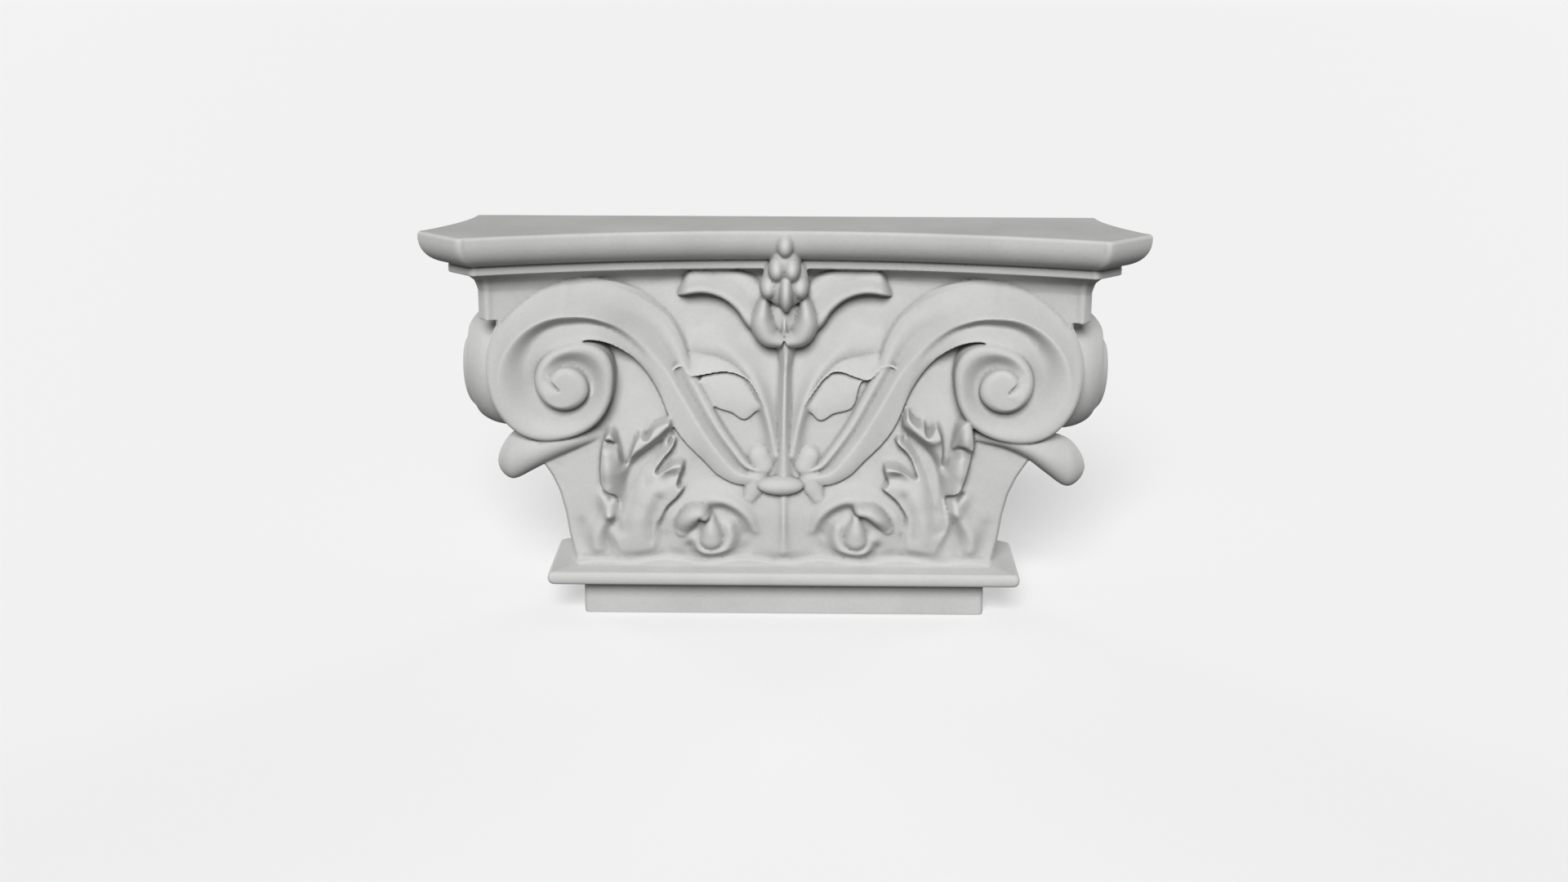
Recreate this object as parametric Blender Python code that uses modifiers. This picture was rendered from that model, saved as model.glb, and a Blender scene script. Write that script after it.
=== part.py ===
"""Pilaster capital with an abacus, corner volutes, scrolling stems, a flower and acanthus.

The capital is one carved block. Its back is cut flat where it meets the wall.
Shapes are laid out on a layout sheet in parts, one millimetre each at the sizes below: x to the
right, p forward from the wall and z up from the underside. placed() turns parts into metres.
"""
import math
from collections import namedtuple

import bmesh
import bpy
import numpy as np

# Driving dimensions, in metres
HEIGHT = 0.243
NECK_WIDTH = 0.250
NECK_DEPTH = 0.049
ABACUS_WIDTH = 0.434
ABACUS_DEPTH = 0.086

# The layout sheet divides each driving dimension into this many parts
PARTS_TALL = 243
PARTS_NECK = 250
PARTS_NECK_DEEP = 49
PARTS_ABACUS = 434
PARTS_ABACUS_DEEP = 86

# Neck and base moulding
MOULDING_REACH = 21.0
MOULDING_FRONT_REACH = 16.0
MOULDING_UNDERSIDE = 23.2
MOULDING_SHOULDER = 31.6
MOULDING_TOP = 38.0
NECK_FILLET = 1.6
NOSE_ROUNDING = 0.14
NOSE_STEPS = 6
FILLET_SHARE = 0.13
LEDGE_SHARE = 0.55
LEDGE_RISE = 1.0
SLOPE_SHARE = 0.2
CORNER_ROUNDING = 2.5

# Abacus: levels from the top down, insets as shares from the top edge in to the die
EDGE_BAND = 4.0
OVOLO_BOTTOM = PARTS_TALL - 19.7
FILLET_TOP = PARTS_TALL - 21.2
FILLET_BOTTOM = PARTS_TALL - 26.0
DIE_TOP = PARTS_TALL - 38.0
DIE_BOTTOM = PARTS_TALL - 56.0
ARRIS_ROUNDING = 3.0
CAVETTO_REACH = 0.42
CAVETTO_STEPS = 3
FILLET_EASE = 0.3
TOP_ROUNDING = 1.2
TOP_EASE = 0.04
ABACUS_SIDE_STEPS = 7
ABACUS_FRONT_STEPS = 10
OVOLO_STEPS = 6
OVOLO_INSET = 0.55
FILLET_INSET = 0.5
CORNER_X = (188.8, 180.0)
CORNER_P = (86.0, 51.0)
POINT_X = (217.0, 185.0)
POINT_P = (60.0, 45.0)
WALL_X = (192.0, 161.0)
MIDDLE_P = (54.0, 22.0)

# Bell: half width by height, and the front leaning back towards the top
BELL_LEVELS = (30.0, 52.0, 66.0, 80.0, 90.0, 104.0, 122.0, 150.0, 187.0, 215.0)
BELL_HALF = (128.0, 133.0, 135.0, 138.5, 143.0, 152.0, 160.0, 168.0, 175.0, 176.0)
BELL_FRONT = 52.0
BELL_LEAN_START = 66.0
BELL_LEAN_END = 212.0
BELL_TOP_FRONT = 23.0
BELL_CORNER_FRONT = 48.0
BELL_FOOT = 28.0
BELL_HEAD = PARTS_TALL - 24.0
BELL_ARRIS = 2.0

# Volutes: radius of the coil's outer edge at each eighth of a turn, starting at its top
VOLUTE_X = 133.0
VOLUTE_Z = 146.0
VOLUTE_FACE = 60.0
VOLUTE_BACK = 40.0
COIL_RADII = (65.0, 56.5, 46.5, 39.5, 30.8, 28.5, 29.5, 34.8, 27.8, 21.5, 16.5, 13.2, 12.0, 12.8,
              15.2, 15.6, 14.8, 11.0)
GROOVE_EDGE = (0.52, 0.40, 0.24, 0.16, 0.14, 0.16, 0.2, 0.25, 0.25, 0.25, 0.25)
GROOVE_DEPTH = (8.5, 8.5, 8.0, 7.0, 6.0, 5.5, 5.5, 6.5, 6.0, 2.5, 0.0, 0.0)
COIL_RISE = 2.6
COIL_ROUNDING = 4.0
BAND_LEAN = 21.0
BAND_CURVE = 1.25
FACE_COLUMNS = 16
FLANK_COLUMNS = 14
COIL_ROWS = 180
STEM_ROWS = 70

# Side volutes, rounded bosses on the returns
SIDE_VOLUTE_P = 3.0
SIDE_VOLUTE_Z = 150.5
SIDE_VOLUTE_RADIUS = 39.5
SIDE_VOLUTE_FACE = 201.5
SIDE_VOLUTE_DOME = 30.0
SIDE_VOLUTE_TURNS = 1.6
SIDE_VOLUTE_GROOVE = 1.6
SIDE_VOLUTE_GROOVE_HALF = 0.14
SIDE_VOLUTE_FULLNESS = 0.98
SIDE_VOLUTE_FADE = 0.3
SIDE_VOLUTE_AROUND = 90
SIDE_VOLUTE_ACROSS = 44
SIDE_VOLUTE_BACK = 150.0

# Scrolling stem: its outer edge, crest and underside from the ring up to the volute
STEM_OUTER = ((15, 96), (20, 99), (26, 107), (37, 123), (48, 144), (55, 158), (60, 174), (67, 187),
              (79, 197), (93, 205), (110, 210))
STEM_CREST = ((15, 90), (28, 93), (37, 102), (49, 118), (61, 138), (71, 155), (79, 165), (88, 175),
              (99, 184), (108, 188.5), (119, 191.5))
STEM_UNDERSIDE = ((15, 86), (28, 85.5), (40, 91), (49, 100), (61, 112), (69, 124), (77, 143),
                  (86, 157), (95, 167), (105, 174), (117, 177))
STEM_RISE = (5.0, 7.5, 9.0, 10.0, 13.0, 17.0, 21.0)
STEM_EDGE = -2.2
STEM_LOWER = (0.5, 0.5, 0.5, 1.0, 4.0, 12.0, 16.0)
STEM_GROOVE = 2.6
OUTER_RIB = 3.6

# Flower petals and the two leaves on the central stem, left and right
PETAL_UPPER = ((10, 200), (18, 210), (31, 216.5), (44, 218), (54, 217), (60, 213.5))
PETAL_LOWER = ((8, 172), (22, 180), (29, 190), (38, 197.5), (50, 201), (66, 199))
PETAL_RISE = (12.0, 14.0, 14.0, 14.0, 15.0, 13.0)
PETAL_END = 0.1
RING = ((-2.0, 54.0, 85.5), (14.5, 7.5, 6.0))
CENTRE_STEM = ((0, 88), (0, 120), (0.5, 150), (1, 162), (1, 178))
CENTRE_STEM_HALF = (8.0, 5.5, 4.2, 4.8, 8.0)
CENTRE_STEM_RISE = (6.0, 8.0, 8.0, 9.5, 12.0)
STEM_RIB_HALF = 0.42
STEM_RIB_SHARE = 0.5
STALK_SUNK = 3.0
SEED_HEAD = (
    ((0.0, 43.0, PARTS_TALL - 21.0), (11.0, 13.0, 20.0)),
    ((0.5, 38.0, PARTS_TALL - 35.0), (13.5, 13.0, 13.0)),
    ((0.5, 53.0, PARTS_TALL - 8.0), (5.0, 10.5, 7.0)),
    ((1.0, 44.0, PARTS_TALL - 38.0), (5.0, 15.5, 13.0)),
    ((0.0, 30.0, 184.0), (4.0, 15.0, 9.0)),
)
FLOWER_PAIRS = (
    ((4.7, 47.0, PARTS_TALL - 24.0), (5.6, 14.0, 7.5)),
    ((10.5, 41.0, PARTS_TALL - 36.5), (7.0, 14.0, 8.0)),
    ((13.0, 39.0, 191.0), (6.2, 13.0, 8.5)),
    ((13.8, 38.0, 183.0), (7.8, 16.0, 10.0)),
    ((9.5, 37.5, 176.0), (9.2, 16.0, 8.0)),
    ((4.0, 36.5, 173.5), (7.0, 14.5, 6.5)),
)
LEAF_TOP = ((14, 140), (22, 154), (33, 165), (47, 170), (62, 168), (72, 156))
LEAF_CREASE = {-1: ((12, 134), (20, 147), (27, 152.5), (38, 154.5), (57, 152), (62, 158), (73, 152)),
               1: ((12, 134), (20, 145), (25, 151), (33, 155), (51, 150), (60, 158), (73, 156))}
LOBE_TOP = ((9, 118), (17, 138), (26, 151), (38, 153), (50, 151))
LOBE_EDGE_LINE = {-1: ((8, 112), (13, 131), (24, 125), (32, 129), (44, 134), (52, 147)),
                  1: ((8, 112), (13, 130.5), (22, 124.5), (30, 128.5), (42, 133), (46, 147))}
LEAF_RISE = 8.5
LEAF_SUNK = 3.0
LOBE_RISE = 4.6

# Soft ridge at the bell's foot
FOOT_RIDGE = 33.5
FOOT_SWELL = 1.2
FOOT_WAVE = 11.5
FOOT_RISE = 3.0
FOOT_HALF = 3.2

# Leaves carved on the bell, with x measured from the centre line. A leaf has an outline of (x, z)
# and strokes on it. A stroke is a ridge along a line, or a valley where its amounts are negative,
# with its widths and amounts from start to end. A round stroke is a bud or finger of its own height.
Stroke = namedtuple("Stroke", "line widths amounts")
Leaf = namedtuple("Leaf", "outline strokes")
LIFT_LEVELS = (30.0, 60.0, 75.0, 95.0, 115.0, 130.0)
LIFT = (1.5, 4.0, 6.5, 9.0, 10.5, 10.5)
EDGE_LEVELS = (45.0, 72.0)
EDGE_WIDTHS = (7.0, 1.9)
ROUND_FOOT = 0.4
LINE_STEPS = 24

ACANTHUS = {
    -1: Leaf(
        ((77, 20), (75, 38.5), (75, 51), (75.5, 59), (73.5, 64), (72.5, 67), (70.5, 72), (65.5, 77),
         (61.5, 82),
         (60.5, 85), (64, 86), (62.5, 92), (60.5, 97), (61.5, 101), (67.5, 101), (73, 97), (78, 93),
         (73, 101), (68, 107), (65.5, 112.5), (67.5, 115.5), (71, 111), (68.5, 114.5), (67.5, 121.5),
         (69, 127), (73, 126.5), (80, 122.5), (84, 116), (87, 118.5), (91, 115), (94, 107), (97, 98.5),
         (99, 106), (102, 117), (105, 121), (108, 120), (111, 114.5), (113, 103.5), (113.5, 90.5),
         (112, 84.5), (109, 81.5), (104, 78.5), (102, 72.5), (105, 63), (110, 54), (107, 42.5),
         (104, 32.5), (101, 20)),
        (Stroke(((95, 104.5), (86, 109.5), (77, 117), (70, 124)), (4, 4.5, 4.5, 3), (2.5, 3.5, 3.5, 2)),
         Stroke(((69, 118), (80, 106.5), (88, 98.5), (93, 89.5), (96, 76.5), (100, 58.5)),
                (5, 8, 8, 7.5, 7, 6), (-6, -8.5, -8.5, -7, -5, -2.5)),
         Stroke(((78.5, 90.5), (71.5, 97.5), (64.5, 99.5)), (3, 3, 2.5), (1, 2.5, 1.5)),
         Stroke(((82.5, 87.5), (74.5, 90.5), (66.5, 92.5)), (4, 4, 3), (-1, -2, -1.5)),
         Stroke(((66.5, 112), (70.5, 106.5), (76.5, 99.5)), (2.5, 2.5, 3), (1, 1.5, 1)),
         Stroke(((110, 114.5), (106, 117.5), (102, 114.5)), (2.5, 2.5, 2.5), (1, 2.5, 1)),
         Stroke(((114, 111.5), (107, 113), (100, 110)), (1.6, 1.8, 1.6), (-3.5, -5, -3)),
         Stroke(((108, 106.5), (107.5, 97.5), (107, 87.5)), (4, 5, 4), (2.5, 3.5, 2)),
         Stroke(((98, 98.5), (98, 101.5)), (3, 3), (-2, -2)),
         Stroke(((107, 77.5), (107, 69)), (4, 4), (-4, -4)),
         Stroke(((80.5, 85.5), (87, 71), (89, 52.5), (89, 36)), (8, 9, 9, 8), (1.5, 2, 2, 1)),
         Stroke(((76.5, 77.5), (81, 65), (81, 52.5)), (4, 4, 4), (-1.5, -1.5, -1)))),
    1: Leaf(
        ((70.5, 20), (69.5, 37.5), (71.5, 53), (74, 63), (73, 68.5), (69, 75.5), (63, 81), (59.5, 84),
         (63, 88),
         (61.5, 92), (60.5, 97), (62.5, 100), (69.5, 99), (75.5, 95), (81, 90.5), (79.5, 95),
         (77.5, 100.5), (74.5, 105.5), (69.5, 110.5), (67.5, 113.5), (69.5, 117), (72.5, 116.5),
         (73.5, 115), (72, 119.5), (71.5, 124.5), (72.5, 129), (75.5, 134), (78.5, 128.5), (82.5, 125.5),
         (86, 126), (88, 119.5), (91, 124), (94, 124.5), (97, 118), (98.5, 109), (98, 98.5),
         (100, 103.5), (102, 113), (104.5, 123), (107.5, 127.5), (112, 129), (115.5, 124), (117, 113.5),
         (116, 105.5), (114, 99.5), (112.5, 93), (109.5, 84.5), (104.5, 80.5), (99.5, 77.5), (101.5, 69),
         (104.5, 59), (100.5, 46.5), (97.5, 34.5), (94.5, 20)),
        (Stroke(((75.5, 128.5), (80.5, 122), (88.5, 117), (94.5, 117.5)),
                (3, 4, 4.5, 4), (2, 3.5, 3.5, 2.5)),
         Stroke(((70.5, 121), (78.5, 113.5), (84.5, 106.5), (89.5, 98.5), (92.5, 88.5), (94, 75.5),
                 (95.5, 58.5)),
                (5, 7, 8, 8, 7.5, 7, 6), (-6, -8.5, -9, -8.5, -7, -5, -2.5)),
         Stroke(((62.5, 97.5), (69.5, 97.5), (77.5, 93.5)), (2.5, 3, 3), (1.5, 2.5, 1)),
         Stroke(((64.5, 90.5), (71.5, 91.5), (80.5, 85.5)), (3, 4, 4), (-1.5, -2, -1)),
         Stroke(((70.5, 115), (74.5, 110.5), (79.5, 103.5)), (2.5, 2.5, 3), (1, 1.5, 1)),
         Stroke(((110, 125.5), (110.5, 118.5), (111.5, 111.5)), (5, 5, 4.5), (2.5, 3.5, 2)),
         Stroke(((104.5, 121.5), (104, 113.5), (103.5, 107.5)), (3, 3, 3), (-2, -3, -3)),
         Stroke(((101.5, 105), (107.5, 109.5), (111.5, 108.5), (116.5, 104)),
                (1.8, 2, 2, 1.8), (-3, -5.5, -5.5, -4)),
         Stroke(((98.5, 113.5), (100, 105.5), (98.5, 97.5)), (3, 3, 3), (-2.5, -4, -3)),
         Stroke(((107.5, 103.5), (107.5, 96.5), (106.5, 88.5)), (4, 5, 4), (2.5, 3, 2)),
         Stroke(((103.5, 77.5), (104, 69)), (4, 4), (-4, -4)),
         Stroke(((82.5, 83.5), (84.5, 69), (84.5, 52.5), (84.5, 36)), (8, 9, 9, 8), (1.5, 2, 2, 1)),
         Stroke(((74.5, 79.5), (79.5, 67), (80.5, 54.5)), (4, 4, 4), (-1.5, -1.5, -1)))),
}
SKIRT = (
    Stroke(((107.5, 69), (113.5, 54), (113.5, 38), (113.5, 24)), (5, 7, 8, 8), (3, 3.5, 3, 2)),
    Stroke(((122.5, 58), (119.5, 46), (115.5, 32)), (3.5, 4, 4), (-1, -2, -1)),
)
CURL_BODY = (
    Stroke(((44, 63), (44, 47)), (17, 17), (3.5, 3)),
    Stroke(((18, 57), (20, 66), (26, 73), (35, 76.5), (45.5, 77.5), (55.5, 76), (63.5, 73), (69.5, 67),
            (72.5, 59)), (3, 3, 3, 3.4, 3.6, 3.4, 3, 3, 2.5), (2.5, 4, 4.5, 4, 3.5, 3, 3, 3, 1.5)),
    Stroke(((25, 57), (29, 66), (37, 71), (44, 72)), (4, 4, 4, 3.5), (-1.5, -3, -3.5, -2)),
    Stroke(((66.5, 59), (66.5, 49), (60.5, 39), (50.5, 33)), (4.5, 5, 5, 4), (-1, -3.5, -4, -2)),
    Stroke(((22, 55), (24, 45), (30, 36)), (5, 5, 4), (-1, -2.5, -2)),
    Stroke(((33, 61), (31, 54), (34, 46), (39, 41), (45, 39), (51.5, 41), (55.5, 47), (57.5, 55)),
           (4, 3.4, 3, 3, 3, 3, 3, 3.5), (4.5, 4, 4, 4, 4, 4, 4, 3)),
)
BUD = Stroke(((44.5, 67), (44.5, 60), (44.5, 49.5)), (2.5, 5.5, 8), (7, 9.5, 9.5))
THUMB = {-1: Stroke(((61.5, 47.5), (62, 57.5), (59.5, 66.5), (54, 68.5)),
                    (3, 5, 5.5, 5.5), (5, 9, 11.5, 11.5)),
         1: Stroke(((63.5, 55.5), (58.5, 63.5), (52, 68.5), (46.5, 70.5)),
                   (4, 5, 4.8, 4), (6, 10, 12, 11.5))}
RING_LEAVES = (
    Stroke(((13, 97), (15.5, 103)), (6.2, 6.2), (5.5, 5.5)),
    Stroke(((19, 89), (21.5, 84), (22, 79)), (5.5, 5.5, 4.5), (5, 5, 4.5)),
)
CENTRE_LEAF = (
    Stroke(((0, 84), (0, 60), (0, 28)), (13, 14, 15), (2.5, 3, 2.5)),
    Stroke(((0, 84), (0, 58), (0, 34)), (2.0, 2.5, 5.0), (1.5, 3, 2)),
)
LEAF_STALK = (
    Stroke(((5, 104), (9, 124), (14, 140), (23, 156), (36, 166), (54, 170)), (4, 4, 4.5, 6, 7, 5),
           (5, 7, 7, 6, 4.5, 2)),
    Stroke(((30, 166), (42, 176), (54, 176)), (5, 5.5, 4), (1, 2.2, 1.5)),
)

# Leaf tips under the corners: reach, underside and upper side from root to end, left and right
TIP_ROOT = 112.0
TIP_REACH = {-1: 177.0, 1: 185.5}
TIP_UNDER = {-1: (111, 107.5, 103, 97.5, 92, 87.5, 98), 1: (112, 110.5, 108, 101.5, 92, 84.5, 96)}
TIP_OVER = {-1: (121, 121, 121, 120.5, 119, 115, 103), 1: (121, 121, 120.5, 120, 118, 113, 100)}
TIP_HALF_DEEP = (6, 12, 15.5, 16.5, 16, 13, 4)
TIP_P = 42.0
TIP_STATIONS = 24
TIP_AROUND = 20

# Mesh density and fusing
STEPS_ALONG = 36
STEPS_ACROSS = 14
BELL_ROWS = 110
BELL_COLUMNS = 170
BELL_SIDE_STEPS = 10
BEHIND_WALL = -6.0
RELIEF_BACK = 10.0
FUSE_CELL = 0.0016
FUSE_ROUNDS = 3
KEPT_SHARE = 0.03

WALL = NECK_DEPTH / 2.0
STONE_COLOUR = (0.60, 0.60, 0.59, 1.0)
STONE_ROUGHNESS = 0.85


def placed(points):
    """Sheet points (x, p, z) in parts as real points in metres."""
    points = np.asarray(points, float)
    rise = np.clip(points[..., 2] / PARTS_TALL, 0.0, 1.0)
    wide = NECK_WIDTH / PARTS_NECK * (1.0 - rise) + ABACUS_WIDTH / PARTS_ABACUS * rise
    deep = NECK_DEPTH / PARTS_NECK_DEEP * (1.0 - rise) + ABACUS_DEPTH / PARTS_ABACUS_DEEP * rise
    x = points[..., 0] * wide
    y = WALL - points[..., 1] * deep
    z = points[..., 2] * HEIGHT / PARTS_TALL
    return np.stack([x, y, z], axis=-1)


def eased(value):
    value = np.clip(value, 0.0, 1.0)
    return value * value * (3.0 - 2.0 * value)


def curve_through(points, count):
    """A smooth curve through the points, as count points evenly spread by parameter."""
    points = np.asarray(points, float)
    if len(points) == 2:
        share = np.linspace(0.0, 1.0, count)[:, None]
        return points[0] * (1.0 - share) + points[1] * share
    ends = np.vstack([2 * points[0] - points[1], points, 2 * points[-1] - points[-2]])
    place = np.linspace(0.0, len(points) - 1, count)
    span = np.minimum(place.astype(int), len(points) - 2)
    t = (place - span)[:, None]
    a, b, c, d = ends[span], ends[span + 1], ends[span + 2], ends[span + 3]
    return 0.5 * (2 * b + (c - a) * t + (2 * a - 5 * b + 4 * c - d) * t ** 2
                  + (3 * b - a - 3 * c + d) * t ** 3)


def values_along(values, count):
    """Smoothly changing values, one for each of count places."""
    return curve_through(np.asarray(values, float)[:, None], count)[:, 0]


def bell_front(x, z):
    """How far the bell's front stands from the wall."""
    half = np.interp(z, BELL_LEVELS, BELL_HALF)
    lean = np.clip((z - BELL_LEAN_START) / (BELL_LEAN_END - BELL_LEAN_START), 0.0, 1.1)
    lean = lean ** 1.25
    middle = BELL_FRONT + (BELL_TOP_FRONT - BELL_FRONT) * lean
    corner = BELL_FRONT + (BELL_CORNER_FRONT - BELL_FRONT) * lean
    side = np.clip(np.abs(x) / half, 0.0, 1.0) ** 2.0
    return middle + (corner - middle) * side


def closed_grid(name, side, top, bottom):
    """A closed mesh between two grids of sheet points, mirrored to the left where side is -1."""
    rows, columns = top.shape[:2]
    points = np.concatenate([top.reshape(-1, 3), bottom.reshape(-1, 3)]) * (side, 1.0, 1.0)
    offset = rows * columns
    faces = []
    for i in range(rows - 1):
        for j in range(columns - 1):
            a = i * columns + j
            quad = (a, a + 1, a + columns + 1, a + columns)
            faces.append(quad)
            faces.append(tuple(offset + k for k in reversed(quad)))
    rim = [j for j in range(columns)]
    rim += [i * columns + columns - 1 for i in range(1, rows)]
    rim += [(rows - 1) * columns + j for j in range(columns - 2, -1, -1)]
    rim += [i * columns for i in range(rows - 2, 0, -1)]
    for a, b in zip(rim, rim[1:] + rim[:1]):
        faces.append((b, a, offset + a, offset + b))
    return mesh_object(name, points, faces)


def mesh_object(name, points, faces):
    """A mesh object from sheet points, with its faces turned outwards."""
    mesh = bpy.data.meshes.new(name)
    mesh.from_pydata(placed(points).tolist(), [], faces)
    work = bmesh.new()
    work.from_mesh(mesh)
    bmesh.ops.recalc_face_normals(work, faces=work.faces)
    work.to_mesh(mesh)
    work.free()
    piece = bpy.data.objects.new(name, mesh)
    bpy.context.scene.collection.objects.link(piece)
    return piece


def relief_band(name, side, outer, inner, heights):
    """A band of relief on the bell between two curves (x, z), with its heights over the bell."""
    share = np.linspace(0.0, 1.0, heights.shape[1])[None, :, None]
    flat = outer[:, None, :] * (1.0 - share) + inner[:, None, :] * share
    ground = bell_front(flat[..., 0], flat[..., 1])
    top = np.stack([flat[..., 0], ground + heights, flat[..., 1]], axis=-1)
    bottom = top.copy()
    bottom[..., 1] = RELIEF_BACK
    return closed_grid(name, side, top, bottom)


def nearest_on(line, x, z):
    """For each place (x, z): its distance from a line, and how far along the line it is nearest."""
    best = np.full(x.shape, 1e9)
    along = np.zeros(x.shape)
    steps = len(line) - 1
    for i in range(steps):
        start, run = line[i], line[i + 1] - line[i]
        length = max(float(run @ run), 1e-9)
        t = np.clip(((x - start[0]) * run[0] + (z - start[1]) * run[1]) / length, 0.0, 1.0)
        distance = (x - start[0] - t * run[0]) ** 2 + (z - start[1] - t * run[1]) ** 2
        nearer = distance < best
        best = np.where(nearer, distance, best)
        along = np.where(nearer, (i + t) / steps, along)
    return np.sqrt(best), along


def stroked(height, x, z, stroke, is_round=False):
    """Adds a stroke to the heights, or lays it over them where it is round."""
    reach = max(stroke.widths) * (1.0 if is_round else 2.5)
    line = curve_through(stroke.line, LINE_STEPS)
    low, high = line.min(axis=0) - reach, line.max(axis=0) + reach
    near = (x > low[0]) & (x < high[0]) & (z > low[1]) & (z < high[1])
    if not near.any():
        return height
    distance, along = nearest_on(line, x[near], z[near])
    stations = np.linspace(0.0, 1.0, LINE_STEPS)
    width = np.interp(along, stations, values_along(stroke.widths, LINE_STEPS))
    amount = np.interp(along, stations, values_along(stroke.amounts, LINE_STEPS))
    share = distance / width
    height = height.copy()
    if is_round:
        dome = amount * (ROUND_FOOT + (1.0 - ROUND_FOOT) * np.sqrt(np.clip(1.0 - share ** 2, 0.0, 1.0)))
        height[near] = np.where(share < 1.0, np.maximum(height[near], dome), height[near])
    else:
        height[near] += amount * np.exp(-share ** 2)
    return height


def covered(line, x, z):
    """Which places lie inside a closed line."""
    inside = np.zeros(x.shape, bool)
    for (x0, z0), (x1, z1) in zip(line, np.roll(line, -1, axis=0)):
        if z0 != z1:
            crosses = (z0 > z) != (z1 > z)
            inside ^= crosses & (x < x0 + (x1 - x0) * (z - z0) / (z1 - z0))
    return inside


def laid(height, x, z, leaf):
    """Lays a leaf over the heights, with its crisp edge and the strokes on it."""
    closed = np.vstack([leaf.outline, leaf.outline[:1]])
    line = curve_through(closed, 3 * len(closed))
    low, high = line.min(axis=0), line.max(axis=0)
    near = (x > low[0]) & (x < high[0]) & (z > low[1]) & (z < high[1])
    if not near.any():
        return height
    x, z = x[near], z[near]
    body = np.interp(z, LIFT_LEVELS, LIFT)
    for stroke in leaf.strokes:
        body = stroked(body, x, z, stroke)
    distance = nearest_on(line, x, z)[0]
    edge = np.interp(z, EDGE_LEVELS, EDGE_WIDTHS)
    share = np.where(covered(line, x, z), eased(distance / edge), 0.0)
    height = height.copy()
    height[near] += share * np.maximum(body, 0.0)
    return height


def relief(x, z):
    """Height of the leaf carving over the bell's plain front."""
    height = np.zeros(np.broadcast(x, z).shape)
    x = x + 0.0 * height
    z = z + 0.0 * height
    ripple = FOOT_SWELL * (np.cos(x / FOOT_WAVE) + 1.0)
    height = height + FOOT_RISE * np.exp(-((z - FOOT_RIDGE - ripple) / FOOT_HALF) ** 2)
    for stroke in CENTRE_LEAF:
        height = stroked(height, np.abs(x), z, stroke)
    for side in (-1, 1):
        height = laid(height, side * x, z, ACANTHUS[side])
        for stroke in SKIRT + CURL_BODY + LEAF_STALK:
            height = stroked(height, side * x, z, stroke)
        for stroke in RING_LEAVES + (BUD, THUMB[side]):
            height = stroked(height, side * x, z, stroke, is_round=True)
    return height


def eighth_turns(values, turns_from_start):
    """Values given at each eighth of a turn, read smoothly in between."""
    count = len(values)
    place = np.clip(turns_from_start * 8.0, 0.0, count - 1.0)
    span = np.minimum(place.astype(int), count - 2)
    t = place - span
    v = np.asarray(values, float)
    v = np.concatenate([[2 * v[0] - v[1]], v, [2 * v[-1] - v[-2]]])
    a, b, c, d = v[span], v[span + 1], v[span + 2], v[span + 3]
    return 0.5 * (2 * b + (c - a) * t + (2 * a - 5 * b + 4 * c - d) * t ** 2
                  + (3 * b - a - 3 * c + d) * t ** 3)


def coil_rows(count):
    """The coil as grids of angle, radius and height over the volute's face."""
    last = (len(COIL_RADII) - 1) / 8.0
    turns = np.linspace(0.0, last, count)[:, None]
    outer = eighth_turns(COIL_RADII, turns)
    in_eye = turns >= last - 1.0
    eye_foot = COIL_RADII[-1] * (1.0 - 0.6 * (turns - last + 1.0))
    foot = np.where(in_eye, eye_foot, eighth_turns(COIL_RADII, np.minimum(turns + 1.0, last)))
    edge = eighth_turns(GROOVE_EDGE, turns)
    depth = eighth_turns(GROOVE_DEPTH, turns)
    face = np.linspace(0.0, 1.0, FACE_COLUMNS)[None, :]
    flank = np.linspace(0.0, 1.0, FLANK_COLUMNS)[None, 1:]
    share = np.concatenate([edge * face, edge + (1.0 - edge) * flank], axis=1)
    radius = outer + (np.where(in_eye, 0.0, foot) - outer) * share
    inward = np.clip((outer - radius) / (outer - foot), 0.0, 1.0)
    from_rim = np.clip((outer - radius) / COIL_ROUNDING, 0.0, 1.0)
    rim = COIL_ROUNDING * (np.sqrt(1.0 - (1.0 - from_rim) ** 2) - 1.0) * np.clip(turns / 0.25, 0.1, 1.0)
    lean = BAND_LEAN * (1.0 - eased(turns / 0.3)) * (1.0 - np.clip(share / edge, 0.0, 1.0) ** BAND_CURVE)
    beyond = np.clip((inward - edge) / (1.0 - edge), 0.0, 1.0)
    dished = eased(turns / 0.25)
    wall = 0.35 + 0.5 * dished
    groove = depth * (eased(beyond / wall) - (1.0 - dished) * eased((beyond - 0.3) / 0.7))
    level = COIL_RISE * np.minimum(turns, last)
    to_eye = np.where(in_eye, COIL_RISE * last - level, COIL_RISE * eased((turns - last + 1.25) / 0.25))
    height = level + to_eye * eased(inward) + rim - lean - groove
    return math.pi / 2.0 + 2.0 * math.pi * turns + 0.0 * share, radius, height


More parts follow.
